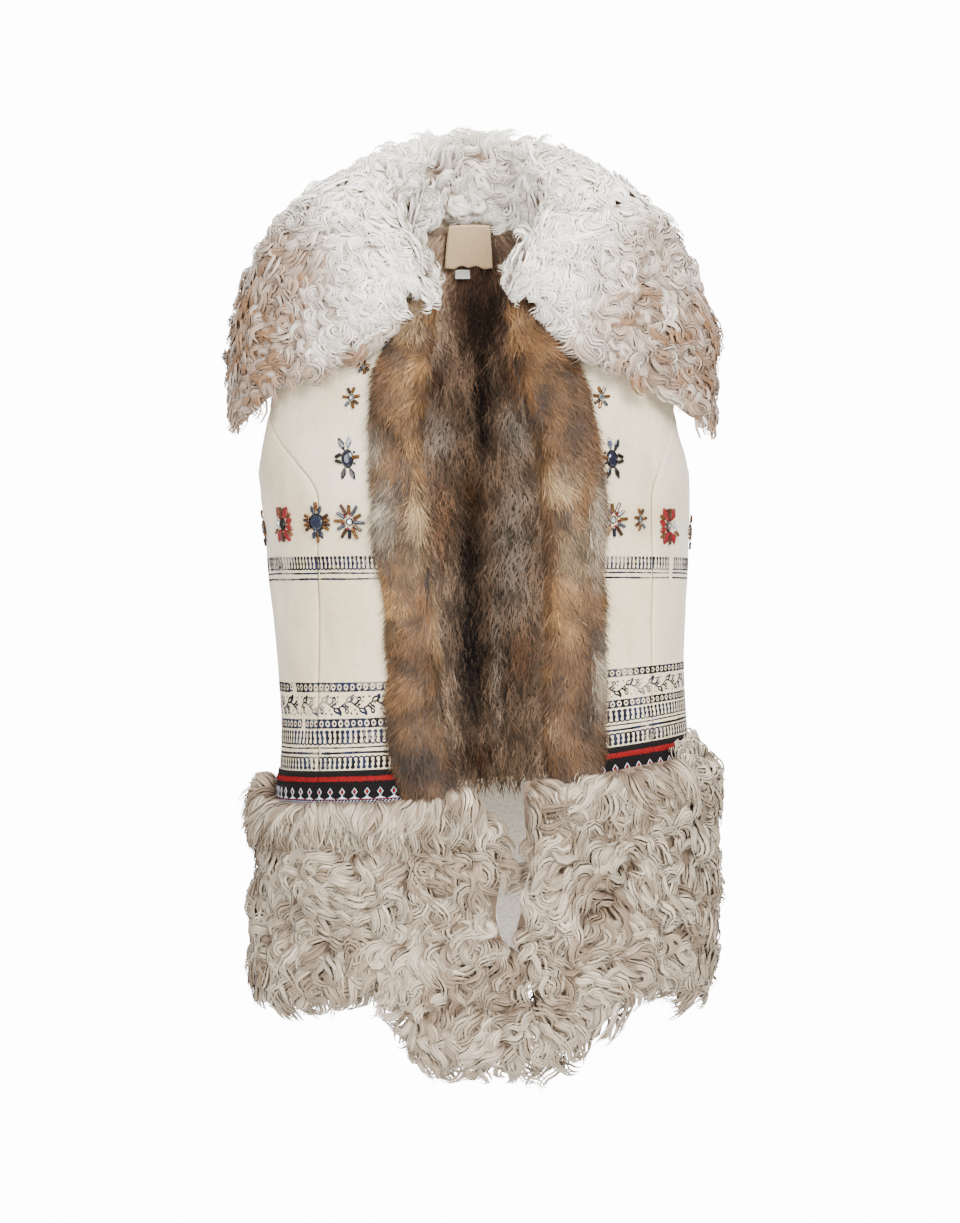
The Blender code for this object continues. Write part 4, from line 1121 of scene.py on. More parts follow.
def make_linings():
    for k, (side, name, count) in enumerate(((0.0, "lining_back", 33000), (RIGHT, "lining_right", 5000),
                                             (LEFT, "lining_left", 5000))):
        rng = np.random.default_rng(90 + k)
        core = make_core(name, lining_grid(side, -0.0100), LINING_SHADED_CORE)
        roots = spread(lining_grid(side, -0.0105), count, rng)
        place = roots[0]
        place[:, 2] -= 0.006
        lean = 0.12 * swirl(place, rng, 0.04, 1.0)
        # Tufts with painted shade in the partings between them.
        tufts_and_shade = LINING_GAIN * tufts(place, rng, 0.012) * shaded_partings(place, rng, TUFT_WIDTH)
        shown = place - np.array((0.0, 0.0, HAIR_FALL))
        tints = flecked(painted(shown, "taupe", LINING_PATCHES, rng) * tufts_and_shade[:, None], rng)
        fur = straight_fur(name + "_hair", roots, rng, steps=2, length=(0.013, 0.021),
                           lift=(0.0024, 0.0048), width=(0.0011, 0.0020), lean=lean, tints=tints,
                           clump=0.10)
        settle(fur, RABBIT)
        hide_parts(name)


# Cloth: how the panels lie, and their creases

# Creases in the panels, soft troughs (or ridges, with a negative depth):
# turn and height of one end, turn and height of the other, half width, depth
CREASES = np.array((
    (-64.0, -0.290, -66.0, -0.392, 0.0030, 0.0022),
    (-47.0, -0.350, -44.0, -0.440, 0.0075, 0.0012),
    (-36.0, -0.215, -40.0, -0.300, 0.0090, -0.0014),
    (-72.0, -0.400, -52.0, -0.500, 0.0110, 0.0020),
    (-80.0, -0.262, -62.0, -0.330, 0.0100, -0.0022),
    (-84.0, -0.300, -76.0, -0.440, 0.0085, 0.0026),
    (-40.0, -0.452, -60.0, -0.512, 0.0120, -0.0016),
    (-52.0, -0.235, -49.0, -0.285, 0.0065, 0.0013),
    (58.0, -0.285, 61.0, -0.380, 0.0035, 0.0020),
    (40.0, -0.340, 44.0, -0.430, 0.0085, 0.0013),
    (76.0, -0.262, 60.0, -0.318, 0.0095, -0.0022),
    (83.0, -0.330, 72.0, -0.455, 0.0090, 0.0025),
    (38.0, -0.470, 58.0, -0.520, 0.0120, -0.0016),
    (50.0, -0.225, 47.0, -0.290, 0.0070, 0.0014),
    (98.0, -0.270, 118.0, -0.345, 0.0110, -0.0026),
    (104.0, -0.330, 112.0, -0.470, 0.0095, 0.0026),
    (134.0, -0.250, 128.0, -0.400, 0.0130, 0.0018),
    (150.0, -0.390, 172.0, -0.452, 0.0120, -0.0018),
    (166.0, -0.200, 160.0, -0.330, 0.0100, 0.0014),
    (188.0, -0.300, 196.0, -0.500, 0.0140, 0.0019),
    (214.0, -0.240, 206.0, -0.360, 0.0110, -0.0016),
    (262.0, -0.268, 240.0, -0.350, 0.0110, -0.0026),
    (256.0, -0.350, 250.0, -0.480, 0.0090, 0.0026),
    (226.0, -0.410, 206.0, -0.500, 0.0130, 0.0017),
    (142.0, -0.470, 120.0, -0.525, 0.0120, 0.0016),
))


def wrapped(turn):
    """The same turn between -90 and 270, as the creases give it."""
    return np.where(turn < -90.0, turn + 360.0, turn)


def cloth_lift(turn, height):
    """How far the panels stand off the smooth body here: creases, waves and sunken seams."""
    turn, height = np.broadcast_arrays(np.asarray(turn, float), np.asarray(height, float))
    x, z = wrapped(turn) * METRES_A_DEGREE, height
    lift = 0.0005 * np.sin(x * 41.0 + 3.0 * np.sin(z * 17.0)) + 0.0004 * np.sin(x * 97.0 - z * 63.0 + 1.3)
    for t0, z0, t1, z1, width, depth in CREASES:
        ax, az, bx, bz = t0 * METRES_A_DEGREE, z0, t1 * METRES_A_DEGREE, z1
        along = ((x - ax) * (bx - ax) + (z - az) * (bz - az)) / ((bx - ax) ** 2 + (bz - az) ** 2)
        near = np.clip(along, 0.0, 1.0)
        bow = 0.004 * np.sin(math.pi * near)
        away = np.hypot(x - ax - near * (bx - ax) - bow, z - az - near * (bz - az))
        fade = np.sin(math.pi * np.clip(near, 0.02, 0.98)) ** 0.7
        lift = lift - 1.4 * depth * fade * np.exp(-(away / width) ** 2)
    for seam, strength in seams_at(height):
        away = np.abs(wrapped(turn) - wrapped(seam)) * METRES_A_DEGREE
        pucker = 0.5 + 0.5 * np.sin(z * 740.0 + 2.0 * np.sin(z * 120.0))
        lift = lift - strength * (0.0011 * np.exp(-(away / 0.0012) ** 2)
                                  + 0.00035 * pucker * np.exp(-(away / 0.0060) ** 2))
    return lift


def seams_at(height):
    """Turn of each seam between panels, and how strongly it shows at these heights."""
    below = (height < PRINCESS_TOP).astype(float)
    return ((princess_turn(RIGHT, height), below), (princess_turn(LEFT, height), below),
            (side_turn(RIGHT, height), 1.0), (side_turn(LEFT, height), 1.0))


def cloth_point(turn, height, offset=0.0):
    return body_point(turn, height, cloth_lift(turn, height) + offset)


def chart_of(points):
    """Metres along and up the cloth, at each of its points."""
    rows, columns = points.shape[:2]
    across = np.linalg.norm(np.diff(points, axis=1), axis=-1)
    up = np.linalg.norm(np.diff(points, axis=0), axis=-1)
    u = np.concatenate((np.zeros((rows, 1)), np.cumsum(across, axis=1)), axis=1)
    v = np.concatenate((np.zeros((1, columns)), np.cumsum(up, axis=0)), axis=0)
    return np.stack((u - u[:, columns // 2][:, None], v), axis=-1)


def cloth_piece(name, points, thickness, material):
    """A cloth wall from a grid of its outer points."""
    rows, columns = points.shape[:2]
    obj = mesh_piece(name, points, grid_faces(rows, columns), uv=chart_of(points))
    wall = obj.modifiers.new("wall", "SOLIDIFY")
    wall.thickness = thickness
    wall.offset = -1.0
    bpy.ops.object.select_all(action="DESELECT")
    bpy.context.view_layer.objects.active = obj
    obj.select_set(True)
    bpy.ops.object.modifier_apply(modifier="wall")
    settle(obj, material)
    return obj


def panel_grid(start_of, end_of, low, high, columns):
    """Grid of a panel between two seams: rows up, columns by growing turn, close at its edges."""
    rows = np.unique(np.round(np.concatenate((
        np.arange(low, high, 0.0075), (high,), np.clip(ARM_ROWS, low, high))), 5))
    inner = np.linspace(0.0, 1.0, columns + 1)
    share = np.sort(np.concatenate((inner, (0.008, 0.022, 0.978, 0.992))))
    start, end = start_of(rows), end_of(rows)
    turn = mix(start[:, None], end[:, None], share[None, :])
    height = np.broadcast_to(rows[:, None], turn.shape)
    width = np.abs(end - start)[:, None] * METRES_A_DEGREE
    edge = np.minimum(share, 1.0 - share)[None, :] * width
    rolled = -0.0007 * np.exp(-(edge / 0.0014) ** 2)
    return cloth_point(turn, height, rolled)


LEATHER_THICK = 0.0020


def make_panels():
    def back_start(h):
        return 90.0 + arm_turn(h) + SEAM_HALF

    def back_end(h):
        return 270.0 - arm_turn(h) - SEAM_HALF
    plan = [("back_cloth", "back_panel", back_start, back_end, HEM_SEAM, 0.0, 56)]
    for side, word in ((RIGHT, "right"), (LEFT, "left")):
        def edge(h, side=side):
            return front_turn(side, h)

        def seam(h, side=side):
            low = princess_turn(side, h)
            return np.where(h < SIDE_FRONT_TOP, low - side * SEAM_HALF, side_turn(side, h))

        def side_start(h, side=side):
            return princess_turn(side, h) + side * SEAM_HALF

        def side_end(h, side=side):
            return side_turn(side, h)
        first = (seam, edge) if side == RIGHT else (edge, seam)
        second = (side_end, side_start) if side == RIGHT else (side_start, side_end)
        plan.append((word + "_front_cloth", word + "_front", *first, HEM_SEAM, 0.0, 26))
        plan.append((word + "_side_cloth", word + "_side_front", *second, HEM_SEAM, SIDE_FRONT_TOP, 14))
    for name, node, start_of, end_of, low, high, columns in plan:
        points = panel_grid(start_of, end_of, low, high, columns)
        obj = cloth_piece(name, points, LEATHER_THICK, LEATHER)
        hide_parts(node)


# Strokes: printed ink and thread, drawn as narrow strips on the cloth

class Drawing:
    """Strokes in metres along and up the cloth, turned into one mesh on its surface."""

    def __init__(self, level):
        turns = np.arange(-180.0, 180.01, 0.5)
        ring = body_skin(turns, np.full(len(turns), level))
        lengths = np.concatenate(([0.0], np.cumsum(np.linalg.norm(np.diff(ring, axis=0), axis=1))))
        self.turns, self.lengths = turns, lengths
        self.around = lengths[-1]
        self.lines = []

    def turn_of(self, along):
        return np.interp(along, self.lengths, self.turns)

    def stroke(self, points, half_width, closed=False):
        points = np.asarray(points, float)
        if closed:
            points = np.vstack((points, points[:1]))
        self.lines.append((points, np.broadcast_to(np.asarray(half_width, float), (len(points),)), closed))

    def dot(self, along, up, across, tall=None):
        tall = across if tall is None else tall
        rise = np.array((-1.0, -0.7, 0.0, 0.7, 1.0))
        points = np.column_stack((np.full(5, along), up + rise * tall))
        self.stroke(points, across * np.array((0.12, 0.72, 1.0, 0.72, 0.12)))

    def ring(self, along, up, across, tall, half_width, corners=14):
        turn = np.linspace(0.0, 2 * math.pi, corners, endpoint=False)
        self.stroke(np.column_stack((along + across * np.sin(turn), up + tall * np.cos(turn))),
                    half_width, closed=True)

    def mesh(self, name, offset, dome, keep):
        """One mesh of the strokes whose middle keep(turn, height) accepts."""
        kept = []
        for points, widths, closed in self.lines:
            middle = points.mean(axis=0)
            if keep(float(self.turn_of(middle[0] % self.around)), float(middle[1])):
                kept.append((points, widths, closed))
        if not kept:
            return None
        flat, rise, faces, start = [], [], [], 0
        for points, widths, closed in kept:
            ahead = np.gradient(points, axis=0)
            if closed:
                ahead[0] = ahead[-1] = points[1] - points[-2]
            ahead /= np.maximum(np.linalg.norm(ahead, axis=1, keepdims=True), 1e-9)
            aside = np.column_stack((-ahead[:, 1], ahead[:, 0])) * widths[:, None]
            flat.append(np.stack((points + aside, points, points - aside), axis=1).reshape(-1, 2))
            rise.append(np.tile((0.0, 1.0, 0.0), len(points)))
            first = start + 3 * np.arange(len(points) - 1)
            for k in (0, 1):
                faces.append(np.stack((first + k, first + k + 1, first + k + 4, first + k + 3), axis=1))
            start += 3 * len(points)
        flat, rise, faces = np.vstack(flat), np.concatenate(rise), np.vstack(faces)
        turn = self.turn_of(flat[:, 0] % self.around)
        points = cloth_point(turn, flat[:, 1], offset + dome * rise)
        return mesh_piece(name, points, faces)


UNDER_FACING = 3.0      # degrees that the tape and the strokes run on under the fur facing


def beyond_facing(side, margin):
    """Accepts what lies on one front past the fur facing, or on the back for side 0."""
    def keep(turn, height):
        if side == 0.0:
            return abs(turn) >= 90.0
        outer = float(facing_outer_turn(side, height))
        return turn * side > 0 and abs(turn) < 90.0 and abs(turn) > abs(outer) - margin
    return keep


def split_round(drawing, name, offset, dome, material):
    for side, word in ((0.0, "back"), (RIGHT, "right"), (LEFT, "left")):
        obj = drawing.mesh(name + "_" + word, offset, dome, beyond_facing(side, UNDER_FACING))
        if obj is not None:
            settle(obj, material)


def comb(ink, pitch, low, high, rng, hooks_down=False):
    """A row of knobbed bars under (or over) a row of small arches."""
    count = round(ink.around / pitch)
    pitch = ink.around / count
    tall = high - low
    for i in range(count):
        along = (i + 0.5) * pitch
        sway = rng.normal(0, 0.00012, 3)
        worn = rng.uniform(0.85, 1.15)
        foot, crown = (high, low) if hooks_down else (low, high)
        toward = 1.0 if crown > foot else -1.0
        bar = ((along, foot + toward * 0.0014), (along + sway[0], foot + toward * 0.5 * tall),
               (along + sway[1], crown - toward * 0.0016))
        ink.stroke(bar, 0.23 * pitch * worn)
        ink.dot(along + sway[1], crown - toward * 0.0014, 0.40 * pitch * worn, 0.0018)
        ink.dot(along + 0.06 * pitch, foot + toward * 0.46 * tall, 0.36 * pitch * worn, 0.0019)
        bow = np.linspace(0.0, math.pi, 8)
        arc = np.column_stack((along + pitch * (0.5 - 0.5 * np.cos(bow)),
                               foot + toward * (0.0020 - 0.0016 * np.sin(bow))))
        ink.stroke(arc, 0.00074 * worn)


def chain(ink, pitch, middle, rng):
    """A row of rings with a dot in each, and dark cusps between them."""
    count = round(ink.around / pitch)
    pitch = ink.around / count
    for i in range(count):
        along = (i + 0.5) * pitch
        up = middle + rng.normal(0, 0.00010)
        ink.ring(along, up, 0.45 * pitch, 0.0034, 0.00066 * rng.uniform(0.8, 1.2))
        ink.dot(along + rng.normal(0, 0.0001), up, 0.00120)
        for rise in (-1.0, 1.0):
            ends = up + rise * 0.0041
            ink.stroke(((along + 0.22 * pitch, ends), (along + 0.5 * pitch, up + rise * 0.0026),
                        (along + 0.78 * pitch, ends)), np.array((0.00030, 0.00130, 0.00030)))


# One repeat of the vine, in millimetres along it and above its middle
VINE_REPEAT = 26.0
VINE_LINES = (      # half width, then the points
    (0.42, ((4.2, 3.2), (4.6, 5.2), (6.6, 6.6), (9.0, 6.9), (10.8, 8.6), (11.2, 6.6), (9.6, 4.6),
            (8.8, 2.9))),
    (0.38, ((11.4, 1.0), (13.2, 0.9), (15.2, 2.0), (16.4, 3.8))),
    (0.42, ((17.2, -3.0), (17.8, -5.0), (19.8, -6.4), (22.0, -6.8), (23.6, -8.4), (24.0, -6.4), (22.6, -4.4),
            (21.8, -2.8))),
    (0.38, ((24.4, -0.9), (26.2, -0.9), (28.2, -2.0), (29.4, -3.8))),
    (0.34, ((2.2, 1.6), (3.2, -0.6), (5.2, -1.4))),
    (0.34, ((15.2, -1.6), (16.2, 0.2), (18.4, 0.9))),
)
VINE_RINGS = ((17.2, 5.3, 1.5), (30.2, -5.3, 1.5))
VINE_DOTS = ((10.9, 7.9, 0.9), (23.7, -7.8, 0.9), (17.5, 6.6, 0.7), (30.4, -6.6, 0.7), (14.0, 6.9, 0.6),
             (21.3, 7.0, 0.65), (20.6, 3.0, 0.5), (1.2, 7.2, 0.6), (12.6, -4.0, 0.55), (8.6, -7.0, 0.65),
             (6.6, 1.6, 0.5), (14.6, -7.6, 0.6), (5.6, -1.9, 0.75), (18.8, 1.4, 0.75))


def vine(ink, middle, rng):
    """A waving stem with a leaf and a bud on each side in turn."""
    count = round(ink.around / (VINE_REPEAT / 1000.0))
    repeat = ink.around / count
    grow = repeat / VINE_REPEAT
    for i in range(count):
        base = i * repeat
        lift = rng.normal(0, 0.0002)

        def on(points):
            points = np.asarray(points, float)
            return np.column_stack((base + points[:, 0] * grow, middle + lift + points[:, 1] / 1000.0))
        s = np.linspace(0.0, VINE_REPEAT, 15)
        stem = np.column_stack((s, 3.0 * np.sin(2 * math.pi * s / VINE_REPEAT)))
        ink.stroke(on(stem), 0.00070 * rng.uniform(0.8, 1.2, len(s)))
        for half_width, points in VINE_LINES:
            taper = np.linspace(0.8, 1.3, len(points))
            ink.stroke(on(points), half_width / 430.0 * taper * rng.uniform(0.85, 1.15))
        for along, up, size in VINE_RINGS:
            ink.ring(base + along * grow, middle + up / 1000.0, size / 900.0, size / 900.0, 0.00062, 10)
        for along, up, size in VINE_DOTS:
            if rng.uniform() < 0.88:
                ink.dot(base + along * grow, middle + up / 1000.0, size / 640.0 * rng.uniform(0.85, 1.1))


def rule(ink, height, half_width, rng):
    """A printed line all round, in lengths that vary a little."""
    count = 46
    for i in range(count):
        s = np.linspace(i, i + 1.02, 8) / count * ink.around
        wobble = 0.00016 * np.sin(s * 90.0 + height * 900.0)
        ink.stroke(np.column_stack((s, height + wobble)), half_width * rng.uniform(0.75, 1.2, 8))


PRINT_LIFT, PRINT_DOME = 0.00016, 0.00004


def make_prints():
    rng = np.random.default_rng(7)
    upper = Drawing(-0.335)
    comb(upper, 0.0042, -0.3420, -0.3300, rng)
    rule(upper, -0.3450, 0.00075, rng)
    rule(upper, -0.3500, 0.00085, rng)
    split_round(upper, "upper_print", PRINT_LIFT, PRINT_DOME, INK)
    lower = Drawing(-0.475)
    chain(lower, 0.0067, -0.4435, rng)
    vine(lower, -0.4590, rng)
    chain(lower, 0.0067, -0.4745, rng)
    comb(lower, 0.0055, -0.4925, -0.4805, rng)
    rule(lower, -0.4954, 0.00070, rng)
    rule(lower, -0.5000, 0.00110, rng)
    comb(lower, 0.0055, -0.5140, -0.5030, rng, hooks_down=True)
    split_round(lower, "lower_print", PRINT_LIFT, PRINT_DOME, INK)


# Woven trim over the hem seam

TAPE_LIFT, TAPE_THICK = 0.0019, 0.0013
THREAD_LIFT, THREAD_DOME = 0.0001, 0.0004


def trim_bounds(side, height):
    if side == 0.0:
        return np.full(len(height), 90.0 + SEAM_HALF), np.full(len(height), 270.0 - SEAM_HALF)
    start, end = facing_outer_turn(side, height) - side * UNDER_FACING, side_turn(side, height)
    return (end, start) if side == RIGHT else (start, end)


def make_trim():
    heights = np.linspace(HEM_SEAM + 0.0008, TRIM_TOP, 9)
    for side, word, columns, cloth in ((0.0, "back", 110, "back_cloth"),
                                       (RIGHT, "right", 46, "right_front_cloth"),
                                       (LEFT, "left", 38, "left_front_cloth")):
        start, end = trim_bounds(side, heights)
        share = np.linspace(0.0, 1.0, columns)
        turn = mix(start[:, None], end[:, None], share[None, :])
        height = np.broadcast_to(heights[:, None], turn.shape)
        rolled = np.where(np.isin(np.arange(9), (0, 8)), -0.0004, 0.0)[:, None]
        points = cloth_point(turn, height, TAPE_LIFT + rolled)
        obj = cloth_piece("tape_" + word, points, TAPE_THICK, TAPE)
        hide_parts("trim_" + word)
    make_braids()


def make_braids():
    """Thread work on the tape: red braid, diamonds on points, and an interlaced edge."""
    rng = np.random.default_rng(21)
    red, white, blue = Drawing(-0.530), Drawing(-0.530), Drawing(-0.530)
    pitch, spine = 0.00155, TRIM_TOP - 0.0078
    for i in range(round(red.around / pitch)):
        along = i * pitch
        for rise in (-1.0, 1.0):
            top = spine + rise * rng.uniform(0.0019, 0.0028)
            points = ((along + rng.normal(0, 0.0002), spine - rise * 0.0004),
                      (along + 0.0011, 0.5 * (spine + top)), (along + 0.0019, top))
            red.stroke(points, np.array((0.55, 1.0, 0.45)) * 0.00068)
    repeat = white.around / round(white.around / 0.0126)
    for i in range(round(white.around / repeat)):
        along = (i + 0.5) * repeat
        up = TRIM_TOP - 0.0195
        corners = ((0.0, 0.0034), (0.0025, 0.0), (0.0, -0.0034), (-0.0025, 0.0))
        white.stroke([(along + a, up + b) for a, b in corners], 0.00048, closed=True)
        red.dot(along, up, 0.0011, 0.0014)
        rise = np.linspace(0.0, 1.0, 6)
        spread_out = 0.0004 + 0.0052 * rise ** 2.2
        white.stroke(np.column_stack((np.full(6, along), up - 0.0032 - 0.0033 * rise)), spread_out)
    lattice = 0.0034
    for i in range(round(white.around / lattice)):
        along = i * lattice
        low, high = TRIM_TOP - 0.0304, TRIM_TOP - 0.0272
        white.stroke(((along, low), (along + lattice, high)), 0.00042)
        blue.stroke(((along, high), (along + lattice, low)), 0.00042)
        for level in (TRIM_TOP - 0.0266, TRIM_TOP - 0.0312):
            red.stroke(((along, level), (along + 0.8 * lattice, level + 0.0001)), 0.00040)
    for drawing, name, material in ((red, "red_thread", RED_THREAD), (white, "white_thread", WHITE_THREAD),
                                    (blue, "blue_thread", BLUE_THREAD)):
        split_round(drawing, name, TAPE_LIFT + THREAD_LIFT, THREAD_DOME, material)


# Cloth tabs at the back neck, both bare: middle, top, width, height, offset from the cloth

NECK_LABEL = (-0.0110, -0.0010, 0.0450, 0.0410, -0.0192)
SIZE_TAB = (-0.0170, -0.0426, 0.0140, 0.0090, -0.0193)
LABEL_THICK, STITCH_PITCH = 0.0010, 0.0024


def tab_points(sizes, rows, columns, scallop):
    centre, top, width, height, offset = sizes
    u, v = np.linspace(-1.0, 1.0, columns)[None, :], np.linspace(0.0, 1.0, rows)[:, None]
    bottom = top - height + scallop * (1.0 - u ** 2) * 0.9 - scallop * 0.35 * np.cos(3.0 * math.pi * u)
    level = mix(bottom, top, v)
    flare = 1.0 + 0.06 * (1.0 - v) * (np.abs(u) > 0.9)
    middle = 180.0 - degrees_for(centre - read(BODY_RINGS, 4, level), np.full(level.shape, 180.0), level)
    half = degrees_for(width / 2, np.full(level.shape, 180.0), level)
    lift = 0.0006 * np.sin(v * 5.0) * u ** 2 - 0.0012 * (1.0 - v) ** 2
    return body_point(middle + half * u * flare, level, offset + lift)[:, ::-1]


def make_label():
    points = tab_points(NECK_LABEL, 19, 23, 0.0035)
    small = tab_points(SIZE_TAB, 5, 7, 0.0)
    tab = mesh_piece("size_tab_cloth", small, grid_faces(5, 7), uv=chart_of(small))
    settle(tab, WHITE_CLOTH)
    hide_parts("size_tab")
    stitches = label_stitches()
    label = cloth_piece("neck_label_cloth", points, LABEL_THICK, TAN_CLOTH)
    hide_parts("neck_label")


def label_stitches():
    """Hand stitches just inside the label's edge."""
    centre, top, width, height, offset = NECK_LABEL
    points = []
    route = [(-1, 0), (-1, 1), (1, 1), (1, 0), (-1, 0)]
    half, tall = width / 2 - 0.0022, height - 0.0055
    for (x0, y0), (x1, y1) in zip(route, route[1:]):
        length = abs(x1 - x0) * half + abs(y1 - y0) * tall
        for k in range(int(length / STITCH_PITCH)):
            ends = [(k + share) * STITCH_PITCH / length for share in (0.15, 0.75)]
            points.append([(centre + mix(x0, x1, a) * half, top - 0.0018 - (1 - mix(y0, y1, a)) * tall)
                           for a in ends])
    flat = np.array(points)
    level = flat[..., 1]
    turn = 180.0 - degrees_for(flat[..., 0] - read(BODY_RINGS, 4, level), np.full(level.shape, 180.0), level)
    middle = body_point(turn, level, np.full(level.shape, offset - 0.0002))
    ahead = unit(middle[:, 1] - middle[:, 0])
    inward = np.array((0.0, -1.0, 0.0))
    aside = np.cross(ahead, inward) * 0.00022
    verts = np.stack((middle[:, 0] + aside, middle[:, 0] - aside, middle[:, 1] - aside, middle[:, 1] + aside,
                      middle[:, 0] + inward * 0.0005, middle[:, 1] + inward * 0.0005), axis=1)
    base = 6 * np.arange(len(verts))
    faces = np.concatenate((np.stack((base, base + 4, base + 5, base + 3), axis=1),
                            np.stack((base + 1, base + 2, base + 5, base + 4), axis=1)))
    obj = mesh_piece("label_stitches", verts, faces)
    return settle(obj, WHITE_THREAD)


# Beads and stones

def bead_shape(kind):
    """Points and faces of one bead a metre across, lying on the cloth with up along Y."""
    bpy.ops.object.select_all(action="DESELECT")
    if kind == "bugle":
        bpy.ops.mesh.primitive_cylinder_add(vertices=8, radius=0.5, depth=1.0, location=(0, 0, 0.5),
                                            rotation=(math.radians(90.0), 0, 0))
    elif kind == "seed":
        bpy.ops.mesh.primitive_torus_add(major_segments=10, minor_segments=6, major_radius=0.30,
                                         minor_radius=0.20, location=(0, 0, 0.28))
    elif kind == "setting":
        bpy.ops.mesh.primitive_torus_add(major_segments=16, minor_segments=5, major_radius=0.50,
                                         minor_radius=0.07, location=(0, 0, 0.07))
    else:
        corners = 8 if kind == "navette" else 10
        bpy.ops.mesh.primitive_cylinder_add(vertices=corners, radius=0.5, depth=0.22, location=(0, 0, 0.11))
    obj = bpy.context.active_object
    obj.data.transform(obj.matrix_world)
    obj.matrix_world.identity()
    mesh = bmesh.new()
    mesh.from_mesh(obj.data)
    if kind == "bugle":
        ends = [e for e in mesh.edges if any(len(f.verts) > 4 for f in e.link_faces)]
        bmesh.ops.bevel(mesh, geom=ends, offset=0.09, segments=1, affect="EDGES", profile=0.5)
    if kind in ("stone", "navette"):
        top = [f for f in mesh.faces if len(f.verts) > 4 and f.normal.z > 0.9]
        for inset, rise in ((0.10, 0.13), (0.12, 0.07)):
            bmesh.ops.inset_region(mesh, faces=top, thickness=inset, depth=0.0)
            for vert in top[0].verts:
                vert.co.z += rise
    if kind == "navette":
        for vert in mesh.verts:
            vert.co.x *= 1.0 - 0.62 * (abs(vert.co.y) * 2.0) ** 1.6
    bmesh.ops.triangulate(mesh, faces=mesh.faces[:])
    points = np.array([v.co[:] for v in mesh.verts])
    faces = np.array([[v.index for v in f.verts] for f in mesh.faces])
    mesh.free()
    bpy.data.objects.remove(obj)
    return points, faces


